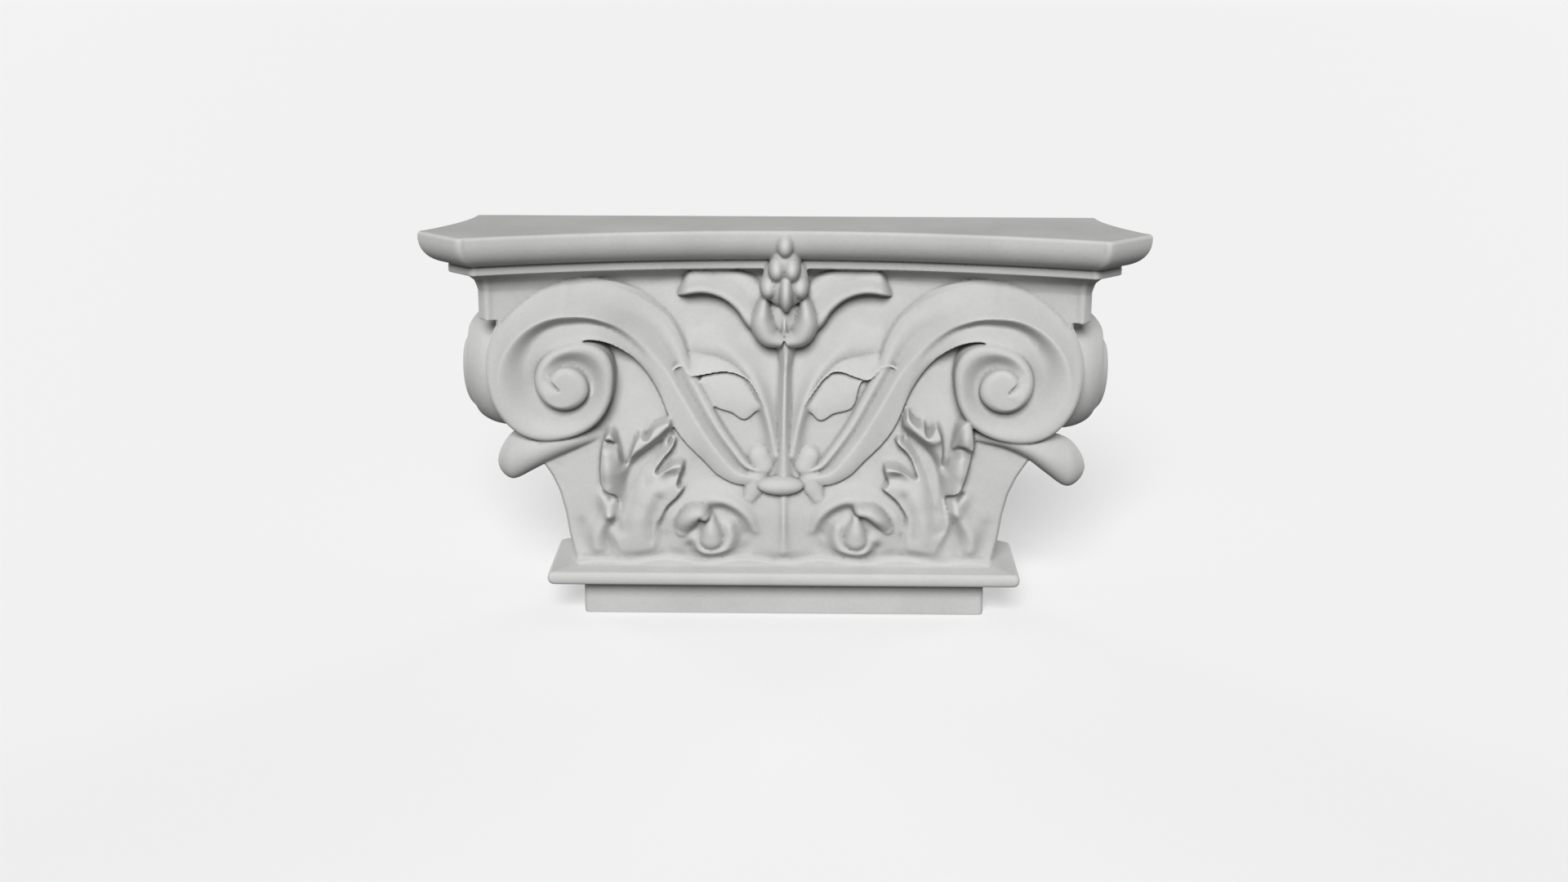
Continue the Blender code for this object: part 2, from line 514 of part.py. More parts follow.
def scroll(side):
    """The ribbed stem and the volute that it winds into, as one band."""
    angle, radius, height = coil_rows(COIL_ROWS)
    coil = np.stack([VOLUTE_X - radius * np.cos(angle), VOLUTE_FACE + height,
                     VOLUTE_Z + radius * np.sin(angle)], axis=-1)
    start = coil[0]
    turn_in = start[FACE_COLUMNS - 1]
    outer = curve_through(STEM_OUTER + (tuple(start[0, [0, 2]]),), STEM_ROWS)
    crest = curve_through(STEM_CREST + (tuple(turn_in[[0, 2]]),), STEM_ROWS)
    lower = curve_through(STEM_UNDERSIDE + (tuple(start[-1, [0, 2]]),), STEM_ROWS)
    along = np.linspace(0.0, 1.0, STEM_ROWS)[:, None]
    a = np.linspace(0.0, 1.0, FACE_COLUMNS)[None, :]
    b = np.linspace(0.0, 1.0, FLANK_COLUMNS)[None, 1:]
    face = outer[:, None] * (1.0 - a[..., None]) + crest[:, None] * a[..., None]
    flank = crest[:, None] * (1.0 - b[..., None]) + lower[:, None] * b[..., None]
    blend = eased((along - 0.6) / 0.4)
    outer_p = bell_front(outer[:, 0], outer[:, 1])[:, None] + STEM_EDGE
    outer_p = outer_p + (start[0, 1] - outer_p) * blend
    crest_p = bell_front(crest[:, 0], crest[:, 1])[:, None] + values_along(STEM_RISE, STEM_ROWS)[:, None]
    crest_p = crest_p + (turn_in[1] - crest_p) * blend
    lower_p = bell_front(lower[:, 0], lower[:, 1])[:, None] + values_along(STEM_LOWER, STEM_ROWS)[:, None]
    lower_p = lower_p + (start[-1, 1] - lower_p) * blend
    ribbed = 1.0 - eased((along - 0.45) / 0.5)
    ribs = OUTER_RIB * np.exp(-((a - 0.3) / 0.2) ** 2) - STEM_GROOVE * np.exp(-((a - 0.66) / 0.17) ** 2)
    face_p = outer_p + (crest_p - outer_p) * a ** BAND_CURVE + ribs * ribbed
    depth = GROOVE_DEPTH[0] * eased((along - 0.5) / 0.5)
    flank_p = crest_p + (lower_p - crest_p) * b ** 1.8 - depth * (eased(b / 0.35) - eased((b - 0.3) / 0.7))
    stem = np.concatenate([np.stack([face[..., 0], face_p, face[..., 1]], axis=-1),
                           np.stack([flank[..., 0], flank_p, flank[..., 1]], axis=-1)], axis=1)
    top = np.concatenate([stem[:-1], coil])
    bottom = top.copy()
    bottom[:STEM_ROWS, :, 1] = RELIEF_BACK
    bottom[STEM_ROWS:, :, 1] = VOLUTE_BACK
    return closed_grid("scroll", side, top, bottom)


def side_volute(side):
    """The plainer volute on the return side: a low dome with a spiral groove, cut by the wall."""
    turn = np.linspace(0.0, 2.0 * math.pi, SIDE_VOLUTE_AROUND)[:, None]
    share = np.linspace(0.0, 1.0, SIDE_VOLUTE_ACROSS)[None, :]
    dome = SIDE_VOLUTE_DOME * (1.0 - np.sqrt(1.0 - SIDE_VOLUTE_FULLNESS * share ** 3))
    spiral = (share * SIDE_VOLUTE_TURNS - turn / (2.0 * math.pi)) % 1.0
    fades = eased(share / SIDE_VOLUTE_FADE) * eased((1.0 - share) / SIDE_VOLUTE_FADE)
    groove = SIDE_VOLUTE_GROOVE * fades * np.exp(-((spiral - 0.5) / SIDE_VOLUTE_GROOVE_HALF) ** 2)
    radius = SIDE_VOLUTE_RADIUS * share + 0.0 * turn
    top = np.stack([SIDE_VOLUTE_FACE - dome - groove, SIDE_VOLUTE_P - radius * np.cos(turn),
                    SIDE_VOLUTE_Z + radius * np.sin(turn)], axis=-1)
    bottom = top.copy()
    bottom[..., 0] = SIDE_VOLUTE_BACK
    return closed_grid("side volute", side, top, bottom)


def ball(name, form):
    """An egg-shaped form from a sphere, with its centre and radii on the sheet as (x, p, z)."""
    centre, radii = form
    bpy.ops.mesh.primitive_uv_sphere_add(segments=24, ring_count=16, radius=1.0)
    piece = bpy.context.object
    piece.name = name
    for vertex in piece.data.vertices:
        unit = (vertex.co.x, -vertex.co.y, vertex.co.z)
        vertex.co = placed([centre[k] + radii[k] * unit[k] for k in range(3)]).tolist()
    return piece


def rounded(before, corner, after, by):
    """Three points that make a corner of an outline round, with its middle left in place."""
    def towards(end):
        run = end - corner
        return corner + run * min(0.45, by / max(float(np.linalg.norm(run)), 1e-6))
    first, last = towards(before), towards(after)
    swell = (corner - (first + last) / 2.0) / 2.0
    return np.array([first + swell, corner, last + swell])


def outline_at(inset, sides, fronts):
    """Plan outline (x, p) of the abacus at an inset, 0 at the top edge and 1 at the die."""
    def level(pair):
        return pair[0] + (pair[1] - pair[0]) * inset
    corner = np.array([level(CORNER_X), level(CORNER_P)])
    tip = np.array([level(POINT_X), level(POINT_P)])
    wall = level(WALL_X)
    middle = level(MIDDLE_P)
    p = np.linspace(BEHIND_WALL, tip[1], sides)
    reach = np.clip(p, 0.0, None) / tip[1]
    flank = np.stack([wall + (tip[0] - wall) * reach ** 1.7, p], axis=1)
    x = np.linspace(corner[0], 0.0, fronts)
    front = np.stack([x, middle + (corner[1] - middle) * (x / corner[0]) ** 2], axis=1)
    right = np.vstack([flank[:-1], rounded(flank[-2], tip, corner, ARRIS_ROUNDING),
                       rounded(tip, corner, front[1], ARRIS_ROUNDING), front[1:]])
    left = right[:-1][::-1] * (-1.0, 1.0)
    return np.vstack([right, left])


def tube_faces(rows, around):
    """Faces of a closed tube through rings of points, with both ends capped."""
    faces = []
    for k in range(rows - 1):
        for i in range(around):
            j = (i + 1) % around
            faces.append((k * around + i, k * around + j, (k + 1) * around + j, (k + 1) * around + i))
    faces.append(tuple(range(around)))
    faces.append(tuple(range((rows - 1) * around, rows * around)))
    return faces


def lofted(name, levels):
    """A closed solid through plan outlines given as (outline, z), bottom to top."""
    points = [(x, p, z) for outline, z in levels for x, p in outline]
    return mesh_object(name, points, tube_faces(len(levels), len(levels[0][0])))


def abacus():
    """The abacus from the die up: cavetto, fillet, ovolo and top band."""
    levels = [(1.0, DIE_BOTTOM), (1.0, DIE_TOP)]
    for k in range(1, CAVETTO_STEPS + 1):
        turn = math.pi / 2.0 * k / CAVETTO_STEPS
        inset = 1.0 - CAVETTO_REACH * (1.0 - math.cos(turn))
        levels.append((inset, DIE_TOP + (FILLET_BOTTOM - DIE_TOP) * math.sin(turn)))
    levels.append((FILLET_INSET, FILLET_BOTTOM + FILLET_EASE))
    levels.append((FILLET_INSET, FILLET_TOP))
    levels.append((OVOLO_INSET, OVOLO_BOTTOM))
    ovolo_top = PARTS_TALL - EDGE_BAND
    for k in range(1, OVOLO_STEPS + 1):
        turn = math.pi / 2.0 * k / OVOLO_STEPS
        inset = OVOLO_INSET * (1.0 - math.sin(turn))
        levels.append((inset, ovolo_top - (ovolo_top - OVOLO_BOTTOM) * math.cos(turn)))
    levels.append((0.0, PARTS_TALL - TOP_ROUNDING))
    levels.append((TOP_EASE, PARTS_TALL))
    sides, fronts = ABACUS_SIDE_STEPS, ABACUS_FRONT_STEPS
    return lofted("abacus", [(outline_at(inset, sides, fronts), z) for inset, z in levels])


def box_outline(half, front, round_by):
    """Plan outline of the neck or the moulding with rounded front corners."""
    right = [(half, BEHIND_WALL)]
    for turn in (0.0, math.pi / 4.0, math.pi / 2.0):
        x = half - round_by + round_by * math.cos(turn)
        right.append((x, front - round_by + round_by * math.sin(turn)))
    left = [(-x, p) for x, p in reversed(right)]
    return np.array(right + left)


def neck_and_moulding():
    """The neck strip and the moulding over it: a round nose, a ledge and a slope up to the bell."""
    half = PARTS_NECK / 2.0
    rows = [(0.0, 0.0), (0.0, MOULDING_UNDERSIDE - 2.0 * NECK_FILLET)]
    rows.append((FILLET_SHARE, MOULDING_UNDERSIDE - NECK_FILLET))
    rows.append((FILLET_SHARE, MOULDING_UNDERSIDE))
    nose = (MOULDING_SHOULDER - MOULDING_UNDERSIDE) / 2.0
    for k in range(NOSE_STEPS + 1):
        turn = math.pi * (k / NOSE_STEPS - 0.5)
        share = 1.0 - NOSE_ROUNDING * (1.0 - math.cos(turn))
        rows.append((share, MOULDING_UNDERSIDE + nose * (1.0 + math.sin(turn))))
    rows.append((LEDGE_SHARE, MOULDING_SHOULDER + LEDGE_RISE))
    rows.append((SLOPE_SHARE, MOULDING_TOP))
    levels = []
    for share, z in rows:
        outline = box_outline(half + MOULDING_REACH * share, PARTS_NECK_DEEP + MOULDING_FRONT_REACH * share,
                              CORNER_ROUNDING)
        levels.append((outline, z))
    return lofted("neck and moulding", levels)


def bell():
    """The bell's body with its leaf carving, from inside the moulding up into the abacus."""
    rows = []
    z = np.linspace(BELL_FOOT, BELL_HEAD, BELL_ROWS)
    half = np.interp(z, BELL_LEVELS, BELL_HALF)
    share = np.linspace(1.0, -1.0, BELL_COLUMNS)[None, :]
    x = (half[:, None] - BELL_ARRIS) * share
    z_grid = z[:, None] + 0.0 * x
    front = bell_front(x, z_grid) + relief(x, z_grid)
    for i in range(BELL_ROWS):
        p = np.linspace(BEHIND_WALL, front[i, 0] - BELL_ARRIS, BELL_SIDE_STEPS)
        right = np.stack([np.full_like(p, half[i]), p], axis=1)
        p = np.linspace(front[i, -1] - BELL_ARRIS, BEHIND_WALL, BELL_SIDE_STEPS)
        left = np.stack([np.full_like(p, -half[i]), p], axis=1)
        rows.append((np.vstack([right, np.stack([x[i], front[i]], axis=1), left]), z[i]))
    return lofted("bell", rows)


def stem_and_flower():
    """The central stem with its ring, and the flower with its seed head, cups and petals."""
    pieces = [central_stem(), ball("ring", RING)]
    pieces += [ball("seed head", form) for form in SEED_HEAD]
    for side in (-1, 1):
        pieces.append(petal(side))
        for (x, p, z), radii in FLOWER_PAIRS:
            pieces.append(ball("flower lobe", ((side * x, p, z), radii)))
    return pieces


def central_stem():
    """The central stem, a rib between two softer flanks."""
    line = curve_through(CENTRE_STEM, STEPS_ALONG)
    width = values_along(CENTRE_STEM_HALF, STEPS_ALONG)[:, None] * (1.0, 0.0)
    share = np.linspace(-1.0, 1.0, STEPS_ACROSS)[None, :]
    rise = values_along(CENTRE_STEM_RISE, STEPS_ALONG)[:, None] + STALK_SUNK
    flanks = np.sqrt(np.clip(1.0 - share ** 2, 0.0, 1.0))
    rib = np.exp(-(share / STEM_RIB_HALF) ** 2)
    profile = flanks * (1.0 - STEM_RIB_SHARE) + rib * STEM_RIB_SHARE
    return relief_band("central stem", 1, line - width, line + width, rise * profile - STALK_SUNK)


def petal(side):
    """A wide petal with a thick rolled lower edge and a blunt drooping tip."""
    upper = curve_through(PETAL_UPPER, STEPS_ALONG)
    lower = curve_through(PETAL_LOWER, STEPS_ALONG)
    share = np.linspace(0.0, 1.0, 2 * STEPS_ACROSS)[None, :]
    along = np.linspace(0.0, 1.0, STEPS_ALONG)[:, None]
    edge = np.sqrt(np.clip(1.0 - np.clip(1.0 - share / 0.15, 0.0, 1.0) ** 2, 0.0, 1.0))
    roll = np.sqrt(np.clip(1.0 - np.clip((share - 0.78) / 0.22, 0.0, 1.0) ** 2, 0.0, 1.0))
    dish = 0.62 + 0.38 * eased((share - 0.35) / 0.4)
    end = np.sqrt(np.clip(1.0 - np.clip((along - 1.0 + PETAL_END) / PETAL_END, 0.0, 1.0) ** 2, 0.05, 1.0))
    rise = values_along(PETAL_RISE, STEPS_ALONG)[:, None]
    return relief_band("petal", side, upper, lower, rise * edge * roll * dish * end)


def stem_leaf(side):
    """A leaf on the central stem: a blade with a crisp wavy edge over a broad lower lobe."""
    share = np.linspace(0.0, 1.0, STEPS_ACROSS)[None, :]
    along = np.linspace(0.0, 1.0, STEPS_ALONG)[:, None]
    top = curve_through(LEAF_TOP, STEPS_ALONG)
    crease = curve_through(LEAF_CREASE[side], STEPS_ALONG)
    blade = (LEAF_RISE + LEAF_SUNK) * share ** 0.8 * (1.0 - 0.15 * along) - LEAF_SUNK
    root = curve_through(LOBE_TOP, STEPS_ALONG)
    edge = curve_through(LOBE_EDGE_LINE[side], STEPS_ALONG)
    lobe = LOBE_RISE * (0.55 + 0.45 * np.sin(math.pi * share * 0.9)) + 0.0 * along
    return [relief_band("leaf blade", side, top, crease, blade),
            relief_band("leaf lobe", side, root, edge, lobe)]


def corner_tip(side):
    """The drooping leaf tip under the corner volutes, a loft of rounded sections along its run."""
    share = np.linspace(0.0, 1.0, TIP_STATIONS)
    x = side * (TIP_ROOT + (TIP_REACH[side] - TIP_ROOT) * share)
    under = values_along(TIP_UNDER[side], TIP_STATIONS)
    over = values_along(TIP_OVER[side], TIP_STATIONS)
    deep = values_along(TIP_HALF_DEEP, TIP_STATIONS)[:, None]
    turn = np.linspace(0.0, 2.0 * math.pi, TIP_AROUND, endpoint=False)[None, :]
    z = ((over + under) / 2.0)[:, None] + ((over - under) / 2.0)[:, None] * np.sin(turn)
    points = np.stack([x[:, None] + 0.0 * turn, TIP_P + deep * np.cos(turn), z], axis=-1).reshape(-1, 3)
    return mesh_object("corner tip", points, tube_faces(TIP_STATIONS, TIP_AROUND))


def stone_material():
    material = bpy.data.materials.new("light stone")
    material.use_nodes = True
    shader = material.node_tree.nodes["Principled BSDF"]
    shader.inputs["Base Color"].default_value = STONE_COLOUR
    shader.inputs["Roughness"].default_value = STONE_ROUGHNESS
    shader.inputs["Metallic"].default_value = 0.0
    return material


def joined(pieces, name):
    """The pieces as one object, still overlapping."""
    bpy.ops.object.select_all(action="DESELECT")
    for piece in pieces:
        piece.select_set(True)
    bpy.context.view_layer.objects.active = pieces[0]
    bpy.ops.object.join()
    pieces[0].name = name
    pieces[0].data.name = name
    return pieces[0]


def evaluated_mesh(piece):
    graph = bpy.context.evaluated_depsgraph_get()
    graph.update()
    return bpy.data.meshes.new_from_object(piece.evaluated_get(graph))


def carved_pieces():
    """The bell and all that is carved on it, as overlapping closed pieces."""
    pieces = [bell()]
    pieces += stem_and_flower()
    for side in (-1, 1):
        pieces.append(scroll(side))
        pieces.append(side_volute(side))
        pieces.append(corner_tip(side))
        pieces += stem_leaf(side)
    return pieces


def fused(pieces):
    """The pieces as one skin, thinned to few faces."""
    block = joined(pieces, "carving")
    fuse = block.modifiers.new("fuse", "REMESH")
    fuse.mode = "VOXEL"
    fuse.voxel_size = FUSE_CELL
    ease = block.modifiers.new("ease", "SMOOTH")
    ease.factor = 0.5
    ease.iterations = int(FUSE_ROUNDS)
    thin = block.modifiers.new("thin", "DECIMATE")
    thin.ratio = KEPT_SHARE
    return block


def boolean(piece, other, operation):
    step = piece.modifiers.new(operation.lower(), "BOOLEAN")
    step.operation = operation
    step.solver = "EXACT"
    step.object = other


def room_in_front():
    """The space in front of the wall, which cuts the back flat."""
    bpy.ops.mesh.primitive_cube_add(size=1.0)
    room = bpy.context.object
    room.name = "room in front of the wall"
    size = 2.0 * max(ABACUS_WIDTH, HEIGHT)
    room.scale = (size, size, size)
    room.location = (0.0, WALL - size / 2.0, HEIGHT / 2.0)
    bpy.ops.object.transform_apply(location=True, rotation=False, scale=True)
    return room


def main():
    for old in list(bpy.data.objects):
        bpy.data.objects.remove(old, do_unlink=True)
    stone = stone_material()
    block = fused(carved_pieces())
    tools = [abacus(), neck_and_moulding(), room_in_front()]
    boolean(block, tools[0], "UNION")
    boolean(block, tools[1], "UNION")
    boolean(block, tools[2], "INTERSECT")
    mesh = evaluated_mesh(block)
    capital = bpy.data.objects.new("pilaster_capital", mesh)
    mesh.name = "pilaster_capital"
    home = bpy.data.collections.new("pilaster capital")
    bpy.context.scene.collection.children.link(home)
    home.objects.link(capital)
    for piece in [block] + tools:
        bpy.data.objects.remove(piece, do_unlink=True)
    mesh.materials.clear()
    mesh.materials.append(stone)
    mesh.shade_smooth()
    mesh.set_sharp_from_angle(angle=math.radians(35.0))


main()
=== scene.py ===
"""Dresses the pilaster capital: one carved block of light stone, seen as in the photograph.

The carving is laid out on a sheet in parts, one millimetre each at the capital's real size: x to
the right, p forward from the wall and z up from the underside. placed() turns parts into metres.
"""
import math
from collections import namedtuple

import bmesh
import bpy
import numpy as np
from mathutils import Matrix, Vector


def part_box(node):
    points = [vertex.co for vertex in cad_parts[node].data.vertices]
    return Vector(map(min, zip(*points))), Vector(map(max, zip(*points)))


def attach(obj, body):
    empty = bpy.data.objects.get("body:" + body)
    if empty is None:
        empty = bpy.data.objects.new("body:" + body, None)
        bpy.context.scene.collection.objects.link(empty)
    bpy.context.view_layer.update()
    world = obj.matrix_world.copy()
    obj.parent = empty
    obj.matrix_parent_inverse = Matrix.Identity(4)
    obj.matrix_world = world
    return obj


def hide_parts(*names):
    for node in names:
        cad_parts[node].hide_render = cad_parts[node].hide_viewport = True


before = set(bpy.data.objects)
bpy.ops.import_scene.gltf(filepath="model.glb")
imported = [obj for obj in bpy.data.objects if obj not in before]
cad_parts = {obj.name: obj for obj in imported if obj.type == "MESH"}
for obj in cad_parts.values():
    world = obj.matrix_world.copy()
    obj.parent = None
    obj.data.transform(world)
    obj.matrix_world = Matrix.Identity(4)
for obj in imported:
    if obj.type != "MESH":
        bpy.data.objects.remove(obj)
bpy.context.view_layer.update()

LOWEST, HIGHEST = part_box("pilaster_capital")

# Driving dimensions, in metres. All but the neck's width come from the frame
HEIGHT = HIGHEST.z - LOWEST.z
NECK_WIDTH = 0.250
NECK_DEPTH = 2.0 * HIGHEST.y
ABACUS_WIDTH = HIGHEST.x - LOWEST.x
ABACUS_DEPTH = HIGHEST.y - LOWEST.y
WALL = NECK_DEPTH / 2.0

# The layout sheet divides each driving dimension into this many parts
PARTS_TALL = 243
PARTS_NECK = 250
PARTS_NECK_DEEP = 49
PARTS_ABACUS = 434
PARTS_ABACUS_DEEP = 86

# Neck and base moulding
MOULDING_REACH = 21.0
MOULDING_FRONT_REACH = 16.0
MOULDING_UNDERSIDE = 23.2
MOULDING_SHOULDER = 31.6
MOULDING_TOP = 37.0
NECK_FILLET = 1.6
NOSE_ROUNDING = 0.14
NOSE_STEPS = 14
FILLET_SHARE = 0.13
LEDGE_SHARE = 0.38
LEDGE_RISE = 2.2
SLOPE_SHARE = 0.0
CORNER_ROUNDING = 2.5

# Abacus: levels from the top down, insets as shares from the top edge in to the die
EDGE_BAND = 4.0
OVOLO_BOTTOM = PARTS_TALL - 19.7
FILLET_TOP = PARTS_TALL - 21.2
FILLET_BOTTOM = PARTS_TALL - 26.0
DIE_TOP = PARTS_TALL - 38.0
DIE_BOTTOM = PARTS_TALL - 56.0
ARRIS_ROUNDING = 3.0
ARRIS_MOST = 0.45
CAVETTO_REACH = 0.42
CAVETTO_STEPS = 3
RETURN_CURVE = 1.7
FILLET_EASE = 0.3
TOP_ROUNDING = 1.2
TOP_EASE = 0.04
ABACUS_SIDE_STEPS = 20
ABACUS_FRONT_STEPS = 48
OVOLO_STEPS = 18
OVOLO_INSET = 0.55
FILLET_INSET = 0.5
CORNER_X = (188.8, 180.0)
CORNER_P = (86.0, 51.0)
POINT_X = (217.0, 185.0)
POINT_P = (60.0, 45.0)
WALL_X = (192.0, 161.0)
MIDDLE_P = (54.0, 22.0)

# Bell: half width by height, and the front leaning back towards the top
BELL_LEVELS = (30.0, 52.0, 66.0, 80.0, 90.0, 104.0, 122.0, 150.0, 187.0, 215.0)
BELL_HALF = (128.0, 133.0, 135.0, 138.5, 143.0, 152.0, 160.0, 168.0, 175.0, 176.0)
BELL_FRONT = 52.0
BELL_LEAN_START = 66.0
BELL_LEAN_END = 212.0
BELL_LEAN_MOST = 1.1
BELL_LEAN_CURVE = 1.25
BELL_TOP_FRONT = 23.0
BELL_CORNER_FRONT = 48.0
BELL_FOOT = 28.0
BELL_HEAD = PARTS_TALL - 24.0
BELL_ARRIS = 2.0

# Volutes: the coil's outer radius, its groove's edge as a share of the band and its groove's depth
# at each eighth of a turn, starting at its top. Spans along the coil are in turns
VOLUTE_X = 133.0
VOLUTE_Z = 146.0
VOLUTE_FACE = 60.0
VOLUTE_BACK = 40.0
COIL_RADII = (65.0, 56.5, 46.5, 39.5, 30.8, 28.5, 29.5, 34.8, 27.8, 21.5, 16.5, 13.2, 12.0, 12.8,
              15.2, 15.6, 14.8, 11.0)
GROOVE_EDGE = (0.52, 0.40, 0.24, 0.16, 0.14, 0.16, 0.2, 0.25, 0.25, 0.25, 0.25)
GROOVE_DEPTH = (8.5, 8.5, 8.0, 7.0, 6.0, 5.5, 5.5, 6.5, 6.0, 2.5, 0.0, 0.0)
COIL_RISE = 2.6
COIL_ROUNDING = 4.0
BAND_LEAN = 21.0
BAND_CURVE = 1.25
LEAN_TURNS = 0.3
DISH_TURNS = 0.25
RIM_LEAST = 0.1
GROOVE_WALL = 0.35
GROOVE_WIDENS = 0.5
GROOVE_RETURN = 0.3
EYE_TAPER = 0.6
EYE_START = 1.25
EYE_TURNS = 0.25
FACE_COLUMNS = 16
FLANK_COLUMNS = 14
COIL_ROWS = 180
STEM_ROWS = 70

# Side volutes, rounded bosses on the returns
SIDE_VOLUTE_P = 3.0
SIDE_VOLUTE_Z = 150.5
SIDE_VOLUTE_RADIUS = 39.5
SIDE_VOLUTE_FACE = 201.5
SIDE_VOLUTE_DOME = 30.0
SIDE_VOLUTE_TURNS = 1.6
SIDE_VOLUTE_GROOVE = 1.6
SIDE_VOLUTE_GROOVE_HALF = 0.14
SIDE_VOLUTE_FULLNESS = 0.98
SIDE_VOLUTE_FADE = 0.3
SIDE_VOLUTE_AROUND = 90
SIDE_VOLUTE_ACROSS = 44
SIDE_VOLUTE_BACK = 150.0

# Scrolling stem: its outer edge, crest and underside from the ring up to the volute
STEM_OUTER = ((15, 96), (20, 99), (26, 107), (37, 123), (48, 144), (55, 158), (60, 174), (67, 187),
              (79, 197), (93, 205), (110, 210))
STEM_CREST = ((15, 90), (28, 93), (37, 102), (49, 118), (61, 138), (71, 155), (79, 165), (88, 175),
              (99, 184), (108, 188.5), (119, 191.5))
STEM_UNDERSIDE = ((15, 86), (28, 85.5), (40, 91), (49, 100), (61, 112), (69, 124), (77, 143),
                  (86, 157), (95, 167), (105, 174), (117, 177))
STEM_RISE = (5.0, 7.5, 9.0, 10.0, 13.0, 17.0, 21.0)
STEM_EDGE = 1.8
STEM_SINK = 6.0
STEM_SINK_SHARE = 0.14
STEM_LOWER = (3.0, 3.5, 4.0, 4.5, 6.0, 12.0, 16.0)
STEM_GROOVE = 3.0
STEM_GROOVE_PLACE = 0.66
STEM_GROOVE_WIDE = 0.19
OUTER_RIB = 3.0
OUTER_RIB_PLACE = 0.3
OUTER_RIB_WIDE = 0.24
RIBS_FADE_START = 0.45
RIBS_FADE_SPAN = 0.5
BLEND_START = 0.6
FLANK_CURVE = 2.8
FLANK_GROOVE_START = 0.5

# Flower, central stem and its two leaves, left and right
PETAL_UPPER = ((10, 200), (18, 210), (31, 216.5), (44, 218), (54, 217), (60, 213.5))
PETAL_LOWER = ((8, 172), (22, 180), (29, 190), (38, 197.5), (50, 201), (66, 199))
PETAL_RISE = (12.0, 14.0, 14.0, 14.0, 15.0, 13.0)
PETAL_END = 0.1
PETAL_END_LEAST = 0.05
PETAL_EDGE = 0.15
PETAL_ROLL_START = 0.78
PETAL_ROLL_SPAN = 0.22
PETAL_DISH = 0.38
PETAL_DISH_START = 0.35
PETAL_DISH_SPAN = 0.4
RING = ((-2.0, 54.0, 85.5), (14.5, 7.5, 6.0))
CENTRE_STEM = ((0, 88), (0, 120), (0.5, 150), (1, 162), (1, 178))
CENTRE_STEM_HALF = (8.0, 5.6, 4.4, 5.2, 9.5)
CENTRE_STEM_RISE = (6.0, 8.0, 8.0, 9.5, 12.0)
STEM_RIB_HALF = 0.55
STEM_RIB_SHARE = 0.45
STALK_SUNK = 3.0
SEED_HEAD = (
    ((0.5, 40.5, PARTS_TALL - 20.0), (9.6, 13.0, 18.5)),
    ((0.5, 38.5, PARTS_TALL - 33.0), (14.2, 13.5, 16.0)),
    ((0.5, 50.0, PARTS_TALL - 9.5), (4.9, 10.0, 7.0)),
    ((1.0, 43.5, PARTS_TALL - 38.5), (4.7, 15.5, 12.5)),
    ((0.0, 29.0, 187.0), (11.0, 14.0, 15.0)),
    ((0.0, 30.0, 183.0), (2.6, 15.4, 11.0)),
)
FLOWER_PAIRS = (
    ((4.6, 44.8, PARTS_TALL - 24.5), (5.3, 13.4, 7.6)),
    ((9.6, 40.0, PARTS_TALL - 36.0), (5.6, 13.0, 7.6)),
)
CUP_SPINE = ((11.5, 201), (13.2, 192), (13.4, 184), (9.5, 176.5), (1.0, 173))
CUP_HALF = (2.8, 5.4, 7.6, 7.2, 5.0)
CUP_FRONT = (47, 51, 52, 51, 48)
CUP_DEEP = 15.0
CUP_AROUND = 28
CUP_ENDS = (1.0, -0.6)
CUP_END_CURVE = 6
CUP_END_LEAST = 0.02
LEAF_TOP = ((14, 140), (22, 154), (33, 165), (47, 170), (62, 168), (72, 156))
LEAF_CREASE = {-1: ((12, 134), (20, 147), (27, 152.5), (38, 154.5), (57, 152), (62, 158), (73, 152)),
               1: ((12, 134), (20, 145), (25, 151), (33, 155), (51, 150), (60, 158), (73, 156))}
LOBE_TOP = ((9, 118), (17, 138), (26, 151), (38, 153), (50, 151))
LOBE_EDGE_LINE = {-1: ((8, 112), (13, 131), (24, 125), (32, 129), (44, 134), (52, 147)),
                  1: ((8, 112), (13, 130.5), (22, 124.5), (30, 128.5), (42, 133), (46, 147))}
LEAF_RISE = 8.5
LEAF_SUNK = 3.0
LEAF_CURVE = 0.8
LEAF_TAPER = 0.15
LOBE_RISE = 4.6
LOBE_SWELL = 0.45
LOBE_TURN = 0.9

# Soft ridge at the bell's foot
FOOT_RIDGE = 35.0
FOOT_SWELL = 1.3
FOOT_WAVE = 7.7
FOOT_RISE = 3.8
FOOT_HALF = 1.8
FOOT_FADE = 9.0
FOOT_ENDS = 106.0
FOOT_DROP = 0.14

# Leaves carved on the bell, with x measured from the centre line. A leaf has an outline of (x, z)
# and strokes on it. A stroke is a ridge along a line, or a valley where its amounts are negative,
# with its widths and amounts from start to end. A round stroke is a bud or finger of its own height.
Stroke = namedtuple("Stroke", "line widths amounts")
Leaf = namedtuple("Leaf", "outline strokes")
LIFT_LEVELS = (30.0, 60.0, 75.0, 95.0, 115.0, 130.0)
LIFT = (1.5, 4.5, 7.5, 10.5, 12.0, 12.0)
EDGE_LEVELS = (45.0, 72.0)
EDGE_WIDTHS = (7.0, 1.9)
ROUND_FOOT = 0.3
ROUND_SKIRT = 0.15
ROUND_CURVE = 0.55
SOFT_REACH = 2.5
FOLD_STRENGTH = 1.45
LINE_STEPS = 24

